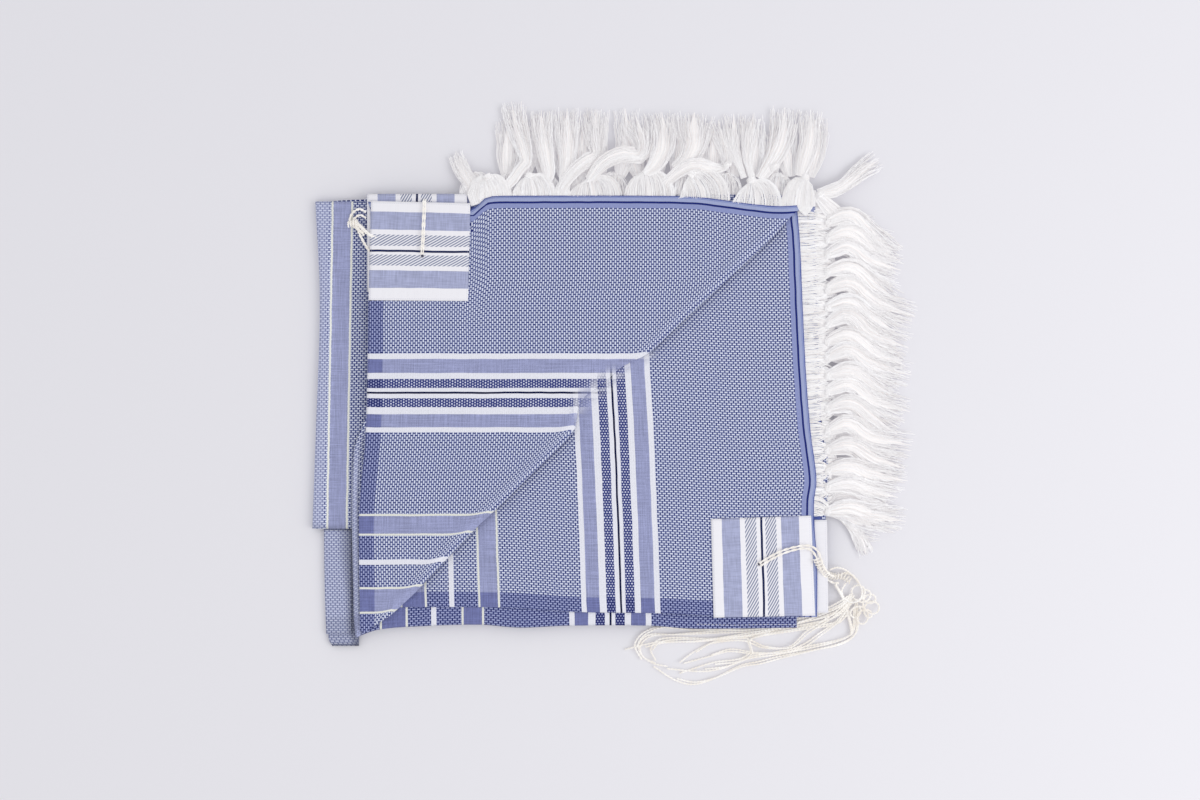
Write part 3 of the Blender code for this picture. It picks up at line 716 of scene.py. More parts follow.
rows = []
for k in range(SECTIONS + 1):
    share = blend(FIRST_SHARE, LAST_SHARE, k / SECTIONS)
    start = along_fold(share)
    end = top_edge_point(share)
    back = (end - start).normalized()
    width = (end - start).length
    loose = ease(width, 6, 50)
    rolled = loose_from_mitre(start.x)
    crest = ROLL_HEIGHT * loose * rolled
    pressed = 1.6 * (1 - rolled)
    roll = ROLL_WIDTH * rolled * loose + 0.6
    return_z = TOP_RETURN_Z - 0.4 * (1 - rolled)
    radius = (TOP_Z - pressed + crest - return_z) / 2
    arc = math.pi * (roll + radius) / 2 * rolled
    turned = min(RETURN_REACH, 0.7 * width)
    pull = BIAS_PULL * rolled * loose * ease(-start.x, -160, 60)
    row = []
    for step in range(8):
        p = start + back * blend(turned, 0.5, step / 7)
        cloth = start - back * (arc + (p - start).length)
        u, v = top_cloth(cloth.x, cloth.y)
        # painted shade: the turned-back layer under the roll is darkened to 0.8
        row.append((p.x, p.y, return_z + rise(p.x, p.y), u, v, 0.8))
    for step in range(1, 12):
        angle = math.pi * step / 12
        p = start - back * roll * math.sin(angle)
        cloth = start - back * (arc * (1 - step / 12) + pull)
        u, v = top_cloth(cloth.x, cloth.y)
        z = return_z + radius * (1 - math.cos(angle)) + rise(p.x, p.y)
        # painted shade on the roll's underside, fading to full brightness over its top
        row.append((p.x, p.y, z, u, v, blend(0.8, 1.0, ease(step, 3, 8)), *side_cloth(p.x, p.y),
                    crossing_share(start.x, start.y, 0) * ease(v, *CLEAR_STRIPE)))
    for step in range(61):
        way = blend(0.2, width, (step / 60) ** 1.25)
        p = start + back * way
        swing = pull * max(0.0, 1 - way / BIAS_WIDTH) ** 2
        cloth = p - back * swing
        u, v = top_cloth(cloth.x, cloth.y)
        fall = 1 - ease(way, 0, blend(30, 15, rolled))
        z = TOP_Z + (crest - pressed) * fall + rise(p.x, p.y)
        # painted highlight: a lighter line along the crest of the rolled fold
        bright = 1 + 0.10 * math.exp(-way / 5) * rolled
        row.append((p.x, p.y, z, u, v, bright, *side_cloth(p.x, p.y),
                    crossing_share(start.x, start.y, way) * ease(v, *CLEAR_STRIPE)))
    rows.append(row)
top_panel = cloth_mesh("top_panel", rows, material=mitred_cotton)
finish_piece(top_panel, "end_panel_top", slot="shawl_cloth")

# --- Layers under the panels ----------------------------------------------------------
# The second fringed end lies under the first and shows as a strip past its edges.
UNDER_BACK_EDGE = [(-250, 178), (0, 177.5), (126, 179), (216, 178)]  # x, y
UNDER_FRONT_EDGE = [  # x, y
    (-262, -268), (-249, -262), (-236, -258), (-204, -255), (-134, -253), (-94, -256),
    (-46, -254), (36, -254), (76, -257), (184, -256),
]
UNDER_LEFT_EDGE = [(-268, -259), (-240, -261), (-80, -261), (-40, -247.5), (178, -247.5)]  # y, x
UNDER_RIGHT_EDGE = [(-148, 212), (-101, 215), (-40, 209), (102, 204), (178, 201)]  # y, x
NOTCH_Y, NOTCH_X = -243.0, 183.0   # its corner is shorter below this line
UNDER_STRIPE_X = 37.5   # where its first white stripe starts
UNDER_STRETCH = 1.045   # its stripes lie this much wider than the first end's

heights = [-268 + 4 * k for k in range(6)] + [NOTCH_Y - 0.4, NOTCH_Y]
heights += [blend(NOTCH_Y, 178, k / 84) for k in range(1, 85)]
rows = []
for y in heights:
    left = read(UNDER_LEFT_EDGE, y)
    right = NOTCH_X if y < NOTCH_Y else read(UNDER_RIGHT_EDGE, max(y, -148))
    row = []
    for k in range(117):
        x = left + 1.2 * k if k < 7 else blend(left + 7.4, right, (k - 7) / 109)
        low, high = read(UNDER_FRONT_EDGE, x), read(UNDER_BACK_EDGE, x)
        share = (y - heights[0]) / (heights[-1] - heights[0])
        level = blend(low, high, share) if y < -230 else y
        level = min(level, high) if y > 0 else level
        rolled = ease(-y, 50, 110) * (1 - ease(x - left, 6.4, 6.6))   # the plain rolled edge
        # its very edge catches the light beside the top panel
        lit = 1 + 0.6 * (1 - ease(x, -246.6, -245.6)) * ease(y, -70, -40)
        # painted shade and highlight on the rolled edge: darker along both its sides, lighter along
        # its middle
        painted_roll_shading = blend(0.72, 1.28, ease(x - left, 0.4, 2.4) - ease(x - left, 4.6, 6.4))
        row.append((x, level, UNDER_Z + rise(x, level), level - low - 8,
                    WHITE_BANDS[0][0] + (UNDER_STRIPE_X - x) / UNDER_STRETCH,
                    blend(lit, painted_roll_shading, rolled), 0.6 * rolled))
    rows.append(row)
under_panel = cloth_mesh("under_panel", rows)
finish_piece(under_panel, "end_panel_under", slot="shawl_cloth")

# the layer inside the top panel's fold, level with the side panel, darkened to 0.85 as painted shade
rows = []
for k in range(29):
    share = blend(0.12, 0.88, k / 28)
    start, end = along_fold(share), top_edge_point(share)
    back, width = (end - start).normalized(), (end - start).length
    row = []
    for step in range(21):
        p = start + back * blend(TUCKED_REACH + 3, max(width - 2, TUCKED_REACH + 6), step / 20)
        u, v = top_cloth(p.x, p.y)
        row.append((p.x, p.y, SIDE_Z + rise(p.x, p.y), u, v, 0.85))
    rows.append(row)
inner_turn = cloth_mesh("inner_turn", rows)
finish_piece(inner_turn, "end_panel_inner_turn", slot="shawl_cloth")

# --- The folded body ------------------------------------------------------------------
# The rest of the shawl, folded in half twice, shows only at its edges: a packet of
# layers, and two folds that come out past the panels at the left.
LEFT_FOLD = [(-157, -302.5), (-60, -299), (72, -295), (171, -299.5)]  # y, x
UPPER_FOLD_STRIPE = [(-157, -288.5), (171, -283)]                     # y, x of its first stripe
FOLD_TOP = 8.1
LOW_FOLD_TOP = 5.7
PACKET_FRONT, PACKET_BACK = -157.0, 171.0
FOLD_WARP = 300         # mm from the selvedge at y = 0, clear of its darker warp


def fold_rows(edge, places, top, flap_low, flap_high, cloth_at):
    """Rows across a fold on its side: under, round the left edge, and over."""
    low, high = 0.6, top - 0.6
    radius = (high - low) / 2
    rows = []
    for y in places:
        turn_x = edge(y) + top / 2
        line = [(blend(flap_low, turn_x, k / 6), low) for k in range(6)]
        for step in range(15):
            angle = math.pi * step / 14
            line.append((turn_x - radius * math.sin(angle) - 0.6 * math.sin(angle),
                         low + radius * (1 - math.cos(angle))))
        line += [(blend(turn_x, flap_high, k / 14), high) for k in range(1, 15)]
        row = []
        for x, z in line:
            upper = z > (low + high) / 2
            q = x - edge(y) if upper else -(x - edge(y))
            row.append((x, y, z + (0.25 * rise(x, y) if upper else 0), *cloth_at(q, y)))
        rows.append(row)
    return rows


def packet_edge(y):
    return read(LEFT_FOLD, y)


def upper_fold_cloth(q, y):
    """The weave's u runs along the fold here, as the stripes do. It is lighter near its folded edge,
    and darker by the panels and at its curled front end, as painted shade.
    """
    across = q + packet_edge(y) - read(UPPER_FOLD_STRIPE, y)
    shade_here = blend(1.16, 1.0, ease(q, 12, 18)) * blend(1, 0.87, ease(across, 19, 21))
    return (FOLD_WARP + y, CREAM_BANDS[0][0] + across,
            shade_here * blend(0.82, 1, ease(y, PACKET_FRONT, PACKET_FRONT + 7)),
            0.55 * (1 - ease(across, -3, -1)))


places = [blend(PACKET_FRONT, PACKET_BACK, k / 80) for k in range(81)]
packet_fold = cloth_mesh("packet_fold", fold_rows(
    packet_edge, places, FOLD_TOP, -269.0, -234.0, upper_fold_cloth))
finish_piece(packet_fold, "left_fold_upper", slot="shawl_cloth")


def low_edge(y):
    return -291.0 + 0.02 * (y - PACKET_FRONT) * (y - PACKET_FRONT) / 100


def lower_fold_cloth(q, y):
    """Lit at its left, in the panels' shade at its right, most of all behind."""
    shadow = ease(q, blend(10, 18, ease(-y, 160, 230)), 27)
    # darker towards its front end, most of all at the inner fold's very end
    hem = blend(0.45, 1, ease(y, -274.8, -273)) * blend(0.86, 1, ease(y, -250, -244))
    return FOLD_WARP + y, 250 + q, blend(1.08, 0.62, shadow) * hem, 0.45


places = [blend(-263.0, PACKET_FRONT - 0.3, k / 30) for k in range(31)]
low_fold = cloth_mesh("low_fold", fold_rows(
    low_edge, places, LOW_FOLD_TOP, -264.0, -263.0, lower_fold_cloth))
finish_piece(low_fold, "left_fold_lower", slot="shawl_cloth")

places = [blend(-275.0, PACKET_FRONT - 1, k / 30) for k in range(31)]


def inner_edge(y):
    return low_edge(max(y, -263)) + 2.2 + 4 * (1 - ease(y, -276, -268))


rows = fold_rows(inner_edge, places, 3.6, -260.0, -256.0, lower_fold_cloth)
rows = [[(x, y, z + 1.0, *cloth) for x, y, z, *cloth in row] for row in rows]
low_fold_inner = cloth_mesh("low_fold_inner", rows)
finish_piece(low_fold_inner, "left_fold_lower_inner", slot="shawl_cloth")

# the hidden layers, each a doubled sheet with its fold at the edge
HIDDEN_LAYERS = 4
HIDDEN_OUTLINE = [
    (-262, -152), (-253, -160), (-252, -244), (-244, -249), (-120, -247), (0, -248),
    (120, -250), (176, -250), (194, -238), (202, -180), (206, -100), (200, 0),
    (196, 120), (192, 166), (186, 172), (60, 171), (-120, 171), (-290, 171), (-293, 150),
    (-291, 80), (-292, 0), (-294, -80), (-296, -148), (-280, -150),
]
outline = smooth_route([(x, y, 0) for x, y in HIDDEN_OUTLINE + HIDDEN_OUTLINE[:1]], 160)[:-1]
middle = Vector((-40, -40))
bm = bmesh.new()
tone = bm.verts.layers.float.new("tone")
cloth_map = bm.loops.layers.uv.new("cloth")
pitch = (FOLD_TOP - 1.6) / HIDDEN_LAYERS
for layer in range(HIDDEN_LAYERS):
    bottom = 0.8 + layer * pitch
    before = None
    slack = random.Random(layer).uniform(0.2, 1.8)
    profile = [(40, 0.05), (6, 0.05), (0.8, 0.12), (0.2, 0.3), (0, 0.5), (0.2, 0.7), (0.8, 0.88),
               (6, 0.95), (40, 0.95)]
    for inwards, level in profile:
        ring = []
        for x, y, _ in outline:
            toward = (middle - Vector((x, y))).normalized()
            give = slack + 0.6 * noise.noise(Vector((x / 30, y / 30, layer * 5.3)))
            p = Vector((x, y)) + toward * (inwards + give)
            vert = bm.verts.new((p.x * MM, p.y * MM, (bottom + level * pitch) * MM))
            # painted shade: the hidden layers between the panels are darkened to 0.9
            vert[tone] = 0.9
            ring.append(vert)
        if before:
            for i in range(len(ring)):
                j = (i + 1) % len(ring)
                face = bm.faces.new((before[i], before[j], ring[j], ring[i]))
                for loop in face.loops:
                    loop[cloth_map].uv = (loop.vert.co.x + 0.4, loop.vert.co.y * 0.2 + 0.26)
        else:
            bm.faces.new(ring[::-1])
        before = ring
    bm.faces.new(before)
mesh = bpy.data.meshes.new("hidden_layers")
bm.to_mesh(mesh)
bm.free()
mesh.materials.append(basket_cotton)
hidden_layers = bpy.data.objects.new("hidden_layers", mesh)
finish_piece(hidden_layers, "hidden_folds", slot="shawl_cloth")

# --- Corner patches -------------------------------------------------------------------
# Squares of finer white cotton with the same stripes, sewn on to take the strain of
# the strings. Each eyelet is a hole worked round with cotton thread.
PATCH_WHITE = "#f3f2f7"
PATCH_VIOLET = "#a8adcc"
PATCH_NAVY = "#1b2550"
HATCH_GREY = "#727c9b"
PATCH_WALL = 0.8
PATCH_VIOLET_BANDS = [(10.5, 28.3), (69, 86.5)]
PATCH_HATCH_BANDS = [(33.3, 44.5), (53.3, 64.3)]
PATCH_NAVY_BANDS = [(48.4, 50.6)]
SEAM_GREY = "#c3c5d6"
HATCH_PITCH = 2.7       # mm
SEAM_STITCH = 2.2       # mm
PATCH_SIDE = 99         # mm, as its cloth map runs

patch_cotton, tree = new_material("Fine white striped cotton")
spot, u, v = cloth_places(tree)
slubs = add(tree, "TexNoise", add(tree, "VectorMath:MULTIPLY", spot, (0.8, 0.06, 1)),
            named={"Scale": 1.0, "Detail": 3.0})
weft_slubs = add(tree, "TexNoise", add(tree, "VectorMath:MULTIPLY", spot, (0.06, 0.9, 1)),
                 named={"Scale": 1.0, "Detail": 3.0})
slub_light = add(tree, "MapRange", add(tree, "Math:ADD", slubs, weft_slubs), 0.7, 1.3, 0.8, 1.2)
violet = add(tree, "VectorMath:SCALE", linear(PATCH_VIOLET)[:3], named={"Scale": slub_light})
fine = add(tree, "MapRange", slubs, 0.3, 0.7, 0.985, 1.01)
seam = []       # a row of stitches 2 mm inside every edge
for near, along in ((u, v), (v, u)):
    stitch = add(tree, "Math:FRACT", add(tree, "Math:DIVIDE", along, SEAM_STITCH))
    stitch = add(tree, "Math:GREATER_THAN", stitch, 0.3)
    seam.append(add(tree, "Math:MULTIPLY", stitch, within(tree, near, [(1.7, 2.1), (96.9, 97.3)])))
seam = add(tree, "Math:MAXIMUM", *seam)
colour = add(tree, "VectorMath:SCALE", linear(PATCH_WHITE)[:3], named={"Scale": fine})
colour = paint(tree, within(tree, v, PATCH_VIOLET_BANDS), colour, violet)
slant = add(tree, "Math:MULTIPLY_ADD", u, 0.578, v)
line = add(tree, "Math:FRACT", add(tree, "Math:DIVIDE", slant, HATCH_PITCH))
line = add(tree, "Math:ABSOLUTE", add(tree, "Math:SUBTRACT", line, 0.5))
line = add(tree, "MapRange", line, 0.34, 0.18)
hatch = add(tree, "Math:MULTIPLY", line, within(tree, v, PATCH_HATCH_BANDS))
colour = paint(tree, add(tree, "Math:MULTIPLY", hatch, 0.9), colour, linear(HATCH_GREY))
colour = paint(tree, within(tree, v, PATCH_NAVY_BANDS), colour, linear(PATCH_NAVY))
colour = paint(tree, add(tree, "Math:MULTIPLY", seam, 0.5), colour, linear(SEAM_GREY))
# painted shade: the tone darkens the patches that lie under the panels
tone = add(tree, "Attribute", attribute_name="tone", output=2)
colour = add(tree, "VectorMath:SCALE", colour, named={"Scale": tone})
height = add(tree, "Math:SUBTRACT", slubs, seam)
raised = add(tree, "Bump", named={"Strength": 0.25, "Distance": 0.0002, "Height": height})
surface = add(tree, "BsdfPrincipled", named={
    "Base Color": colour, "Roughness": 0.85, "Specular IOR Level": 0.2, "Sheen Weight": 0.05,
    "Normal": raised})
add(tree, "OutputMaterial", surface)


def patch(name, corners, height, upright, node, steps=40, shade_here=1.0):
    """A square patch: corners run from back left, clockwise. Upright stripes run front to back."""
    a, b, c, d = (Vector(p) for p in corners)
    rows = []
    for i in range(steps + 1):
        row = []
        for j in range(steps + 1):
            p = a.lerp(b, j / steps).lerp(d.lerp(c, j / steps), i / steps)
            across, down = PATCH_SIDE * j / steps, PATCH_SIDE * i / steps
            u, v = (down, across) if upright else (across, down)
            near_edge = min(i, j, steps - i, steps - j) / steps * PATCH_SIDE
            pillow = 0.35 * ease(near_edge, 0, 6)
            row.append((p.x, p.y, height(p.x, p.y) + pillow, u, v, shade_here))
        rows.append(row)
    thing = cloth_mesh(name, rows, PATCH_WALL, patch_cotton)
    finish_piece(thing, node, slot="patch_cloth")


def on_top(x, y):
    return TOP_Z + rise(x, y) + 1.0


def under_top(x, y):
    return SIDE_Z + rise(x, y) + 0.9


def on_side(x, y):
    return side_z(x, y) + 1.0


def under_side(x, y):
    return UNDER_Z + rise(x, y) + 0.8


patch("upper_patch", [(-242.7, 170.8), (-143.4, 168.4), (-145.8, 70.8), (-245, 71.6)], on_top,
      False, "patch_upper")
patch("upper_under_patch", [(-247, 178), (-147, 178), (-147, 80), (-246.5, 80)], under_top, True,
      "patch_upper_under", shade_here=0.97)
patch("lower_patch", [(97, -147), (197, -143.5), (201, -243.5), (99.5, -245.5)], on_side, True,
      "patch_lower")
patch("lower_under_patch", [(113.5, -148), (213.2, -148), (214.6, -241), (115, -242)], under_side,
      True, "patch_lower_under", shade_here=0.97)


def stitch_tree():
    """Geometry nodes: stitches laid along a line, or across it where they are turned."""
    tree = bpy.data.node_groups.new("Stitches on a line", "GeometryNodeTree")
    tree.is_modifier = True
    face = tree.interface
    face.new_socket("Geometry", in_out="INPUT", socket_type="NodeSocketGeometry")
    for label, kind in [("Count", "Int"), ("Length", "Float"), ("Thickness", "Float"),
                        ("Turn", "Float"), ("Seed", "Int"), ("Material", "Material")]:
        face.new_socket(label, in_out="INPUT", socket_type="NodeSocket" + kind)
    face.new_socket("Geometry", in_out="OUTPUT", socket_type="NodeSocketGeometry")
    given = tree.nodes.new("NodeGroupInput").outputs
    line = tree.nodes.new("GeometryNodeCurveToPoints")
    tree.links.new(given["Geometry"], line.inputs["Curve"])
    tree.links.new(given["Count"], line.inputs["Count"])
    shape = add(tree, "GeometryNodeMeshUVSphere", named={"Segments": 8, "Rings": 5, "Radius": 0.5})
    longer = add(tree, "FunctionNodeRandomValue", output=1, data_type="FLOAT", named={
        2: 0.85, 3: 1.15, "Seed": given["Seed"]})
    sizes = add(tree, "CombineXYZ", given["Thickness"], given["Thickness"],
                add(tree, "Math:MULTIPLY", given["Length"], longer))
    turned = add(tree, "FunctionNodeRotateRotation", named={
        "Rotation": line.outputs["Rotation"],
        "Rotate By": add(tree, "CombineXYZ", given["Turn"], 0.0, 0.0)}, rotation_space="LOCAL")
    placed = add(tree, "GeometryNodeInstanceOnPoints", named={
        "Points": line.outputs["Points"], "Instance": shape, "Rotation": turned, "Scale": sizes})
    real = add(tree, "GeometryNodeRealizeInstances", placed)
    painted = add(tree, "GeometryNodeSetMaterial", named={
        "Geometry": real, "Material": given["Material"]})
    ending = tree.nodes.new("NodeGroupOutput")
    tree.links.new(painted, ending.inputs[0])
    return tree


def through_nodes(name, lines, group, sizes, closed=False):
    """A mesh that a node group makes from lines of (x, y, z, radius) in millimetres."""
    curve = bpy.data.curves.new(name, "CURVE")
    curve.dimensions = "3D"
    for points in lines:
        line = curve.splines.new("POLY")
        line.use_cyclic_u = closed
        line.points.add(len(points) - 1)
        for point, (x, y, z, radius) in zip(line.points, points):
            point.co = (x * MM, y * MM, z * MM, 1)
            point.radius = radius * MM
    guide = bpy.data.objects.new(name + "_guides", curve)
    bpy.context.scene.collection.objects.link(guide)
    modifier = guide.modifiers.new("Nodes", "NODES")
    modifier.node_group = group
    sockets = {item.name: item.identifier for item in group.interface.items_tree
               if item.in_out == "INPUT"}
    for label, value in sizes.items():
        modifier[sockets[label]] = value
    evaluated = guide.evaluated_get(bpy.context.evaluated_depsgraph_get())
    mesh = bpy.data.meshes.new_from_object(evaluated)
    mesh.name = name
    bpy.data.objects.remove(guide)
    return bpy.data.objects.new(name, mesh)


sewing_thread, tree = new_material("White cotton sewing thread")   # smooth and faintly glossy
surface = add(tree, "BsdfPrincipled", named={
    "Base Color": linear("#efedf0"), "Roughness": 0.7, "Specular IOR Level": 0.3})
add(tree, "OutputMaterial", surface)
eyelet_shadow, tree = new_material("Painted shade in an eyelet hole")  # a dark disc as painted shade in the hole
surface = add(tree, "BsdfPrincipled", named={
    "Base Color": linear("#4d4f63"), "Roughness": 0.95, "Specular IOR Level": 0.1})
add(tree, "OutputMaterial", surface)
stitches = stitch_tree()
EYELET_RADIUS = 2.0     # mm, to the middle of its ring of stitches
for name, x, y, level in (("eyelet_upper", -191.4, 115.8, on_top(-191.4, 115.8)),
                          ("eyelet_lower", 145.0, -192.0, on_side(145.0, -192.0))):
    ring = [(x + EYELET_RADIUS * math.cos(a * math.pi / 12),
             y + EYELET_RADIUS * math.sin(a * math.pi / 12), level + 0.75, 1.0)
            for a in range(24)]
    eyelet = through_nodes(name, [ring], stitches, {
        "Count": 26, "Length": 1.9 * MM, "Thickness": 0.62 * MM, "Turn": math.pi / 2, "Seed": 2,
        "Material": sewing_thread}, closed=True)
    finish_piece(eyelet, slot="patch_cloth")
    # painted shade: a dark disc laid in the eyelet stands for the shadow in its hole
    bpy.ops.mesh.primitive_circle_add(vertices=24, radius=1.3 * MM, fill_type="NGON",
                                      location=(x * MM, y * MM, (level + 0.82) * MM))
    hole = bpy.context.object
    bpy.ops.object.transform_apply()
    hole.name = name + "_hole_shade_disc"
    hole.data.materials.append(eyelet_shadow)
    finish_piece(hole, slot="patch_cloth")
hem = [(x, -253.0 + 0.4 * math.sin(x / 11), UNDER_Z + rise(x, -253) + 0.45, 1.0)
       for x in range(84, 182, 3)]
hem_stitches = through_nodes("hem_stitches", [hem], stitches, {
    "Count": 27, "Length": 2.6 * MM, "Thickness": 0.5 * MM, "Turn": 0.0, "Seed": 4,
    "Material": sewing_thread})
finish_piece(hem_stitches, slot="patch_cloth")

# --- Fringe ---------------------------------------------------------------------------
# White cotton yarn. Threads leave the cloth's edge in fans, gather at a knot, run on as
# a soft skein and end in a loose brush that lies on the surface.
YARN_WHITE = "#ffffff"
YARN_CREAM_AND_PAINTED_SHADE = "#e6e1dd"

yarn, tree = new_material("Soft white cotton yarn")   # bright with a painted glow, hairy, with painted creamy shade in its hollows
place = add(tree, "TexCoord", output=3)
fibres = add(tree, "TexNoise", place, named={"Scale": 700.0, "Detail": 2.0})
own = add(tree, "Attribute", attribute_name="tone", output=2)
# threads vary at random between cream and white; the soft body takes the painted shade colour
mixed = add(tree, "Math:MULTIPLY_ADD", fibres, 0.3, own)
shade = add(tree, "Mix", named={0: mixed, 6: linear(YARN_CREAM_AND_PAINTED_SHADE), 7: linear(YARN_WHITE)},
            output=2, data_type="RGBA")
# the glow stands for light passed on from fibre to fibre inside the white yarn
surface = add(tree, "BsdfPrincipled", named={
    "Base Color": shade, "Roughness": 0.9, "Specular IOR Level": 0.1, "Sheen Weight": 0.6,
    "Sheen Roughness": 0.9, "Emission Color": linear("#f4f1fa"), "Emission Strength": 0.17})
add(tree, "OutputMaterial", surface)


def thread_tree():
    """Geometry nodes: a bundle of threads along each guide, as wide as its radius."""
    tree = bpy.data.node_groups.new("Bundles of threads", "GeometryNodeTree")
    tree.is_modifier = True
    face = tree.interface
    face.new_socket("Geometry", in_out="INPUT", socket_type="NodeSocketGeometry")
    for label, kind in [("Threads", "Int"), ("Yarn radius", "Float"), ("Flatness", "Float"),
                        ("Wander", "Float"), ("Wander length", "Float"), ("Uneven ends", "Float"),
                        ("Core", "Float"), ("Seed", "Int"), ("Material", "Material")]:
        face.new_socket(label, in_out="INPUT", socket_type="NodeSocket" + kind)
    face.new_socket("Geometry", in_out="OUTPUT", socket_type="NodeSocketGeometry")
    given = tree.nodes.new("NodeGroupInput").outputs

    capture = tree.nodes.new("GeometryNodeCaptureAttribute")
    capture.domain = "CURVE"
    capture.capture_items.new("INT", "Bundle")
    tree.links.new(given["Geometry"], capture.inputs["Geometry"])
    tree.links.new(add(tree, "GeometryNodeInputIndex"), capture.inputs["Bundle"])
    copies = add(tree, "GeometryNodeDuplicateElements", domain="SPLINE",
                 named={"Geometry": capture.outputs["Geometry"], "Amount": given["Threads"]}).node
    number = copies.outputs["Duplicate Index"]
    key = add(tree, "Math:MULTIPLY_ADD", capture.outputs["Bundle"], 977.0, number)
    seed = given["Seed"]
    draw = {"data_type": "FLOAT"}
    jitter = add(tree, "FunctionNodeRandomValue", output=1,
                 named={2: 0.0, 3: 1.0, "ID": key, "Seed": seed}, **draw)
    deep = add(tree, "FunctionNodeRandomValue", output=1, named={
        2: -1.0, 3: 1.0, "ID": key, "Seed": add(tree, "Math:ADD", seed, 11.0)}, **draw)
    ordered = add(tree, "Math:DIVIDE", add(tree, "Math:ADD", number, jitter), given["Threads"])
    lateral = add(tree, "Math:MULTIPLY_ADD", ordered, 2.0, -1.0)
    domed = add(tree, "Math:SUBTRACT", 1.0, add(tree, "Math:POWER", lateral, 2.0))
    deep = add(tree, "Math:MULTIPLY", deep, add(tree, "Math:SQRT", domed))

    along = add(tree, "GeometryNodeSplineParameter")
    wide = add(tree, "GeometryNodeInputRadius")
    tangent = add(tree, "GeometryNodeInputTangent")
    side = add(tree, "VectorMath:NORMALIZE",
               add(tree, "VectorMath:CROSS_PRODUCT", tangent, (0.0, 0.0, 1.0)))
    up = add(tree, "VectorMath:CROSS_PRODUCT", side, tangent)
    offset = add(tree, "VectorMath:ADD",
                 add(tree, "VectorMath:SCALE", side, named={"Scale": add(
                     tree, "Math:MULTIPLY", lateral, wide)}),
                 add(tree, "VectorMath:SCALE", up, named={"Scale": add(
                     tree, "Math:MULTIPLY", add(tree, "Math:MULTIPLY", deep, given["Flatness"]),
                     wide)}))
    here = add(tree, "GeometryNodeInputPosition")
    spot = add(tree, "VectorMath:SCALE", here, named={
        "Scale": add(tree, "Math:DIVIDE", 1.0, given["Wander length"])})
    apart = add(tree, "CombineXYZ", add(tree, "Math:MULTIPLY", key, 0.73), 0.0, 0.0)
    waves = add(tree, "TexNoise", add(tree, "VectorMath:ADD", spot, apart), output=1,
                named={"Scale": 1.0, "Detail": 1.0})
    waves = add(tree, "VectorMath:SUBTRACT", waves, (0.5, 0.5, 0.5))
    waves = add(tree, "VectorMath:MULTIPLY", waves, (1.0, 1.0, 0.35))
    reach = add(tree, "Math:MULTIPLY", given["Wander"], along)
    waves = add(tree, "VectorMath:SCALE", waves, named={"Scale": reach})
    moved = add(tree, "GeometryNodeSetPosition", named={
        "Geometry": copies.outputs["Geometry"],
        "Offset": add(tree, "VectorMath:ADD", offset, waves)})
    landed = add(tree, "SeparateXYZ", add(tree, "GeometryNodeInputPosition")).node
    resting = add(tree, "Math:MAXIMUM", landed.outputs[2], given["Yarn radius"])
    landed = add(tree, "CombineXYZ", landed.outputs[0], landed.outputs[1], resting)
    moved = add(tree, "GeometryNodeSetPosition", named={"Geometry": moved, "Position": landed})
    short = add(tree, "FunctionNodeRandomValue", output=1, named={
        2: 0.0, 3: 1.0, "ID": key, "Seed": add(tree, "Math:ADD", seed, 23.0)}, **draw)
    short = add(tree, "Math:MULTIPLY", short, given["Uneven ends"])
    trimmed = add(tree, "GeometryNodeTrimCurve", named={
        "Curve": moved, "End": add(tree, "Math:SUBTRACT", 1.0, short)})
    toned = add(tree, "GeometryNodeStoreNamedAttribute", data_type="FLOAT", domain="POINT", named={
        "Geometry": trimmed, "Name": "tone", "Value": jitter})
    round_yarn = add(tree, "GeometryNodeCurvePrimitiveCircle", named={
        "Resolution": 3, "Radius": given["Yarn radius"]})
    solid = add(tree, "GeometryNodeCurveToMesh", named={
        "Curve": toned, "Profile Curve": round_yarn, "Fill Caps": True})

    # the threads too deep to be told apart, as one soft body that thins out to the tip
    level_guide = add(tree, "GeometryNodeSetCurveNormal", given["Geometry"], mode="Z_UP")
    thinning = add(tree, "MapRange", along, 0.45, 0.95, 1.0, 0.03)
    section = add(tree, "GeometryNodeCurvePrimitiveCircle", named={
        "Resolution": 12, "Radius": given["Core"]})
    section = add(tree, "GeometryNodeTransform", named={
        "Geometry": section, "Scale": add(tree, "CombineXYZ", 1.0, given["Flatness"], 1.0)})
    body = add(tree, "GeometryNodeCurveToMesh", named={
        "Curve": level_guide, "Profile Curve": section, "Fill Caps": True,
        "Scale": add(tree, "Math:MULTIPLY", wide, thinning)})
    # painted shade: the body takes the darker yarn colour, so the hollows between threads look
    # creamy and shaded
    body = add(tree, "GeometryNodeStoreNamedAttribute", data_type="FLOAT", domain="POINT", named={
        "Geometry": body, "Name": "tone", "Value": 0.1})
    joined = tree.nodes.new("GeometryNodeJoinGeometry")
    tree.links.new(solid, joined.inputs[0])
    tree.links.new(body, joined.inputs[0])
    painted = add(tree, "GeometryNodeSetMaterial", named={
        "Geometry": joined.outputs[0], "Material": given["Material"]})
    real = add(tree, "GeometryNodeRealizeInstances", painted)
    ending = tree.nodes.new("NodeGroupOutput")
    tree.links.new(real, ending.inputs[0])
    return tree


bundles = thread_tree()


def threads(name, guides, sizes, *nodes):
    """The threads along a list of guides, each a list of (x, y, z, half width) in mm."""
    thing = through_nodes(name, guides, bundles, sizes)
    finish_piece(thing, *nodes, slot="fringe_yarn")
    return thing


def yarn_sizes(**changes):
    """The sizes of a bundle, in metres or as shares, with any of them changed."""
    sizes = {"Threads": 120, "Yarn radius": 0.0003, "Flatness": 0.3, "Wander": 0.009,
             "Wander length": 0.02, "Uneven ends": 0.25, "Core": 0.55, "Seed": 3,
             "Material": yarn}
    sizes.update({label.replace("_", " "): value for label, value in changes.items()})
    return sizes


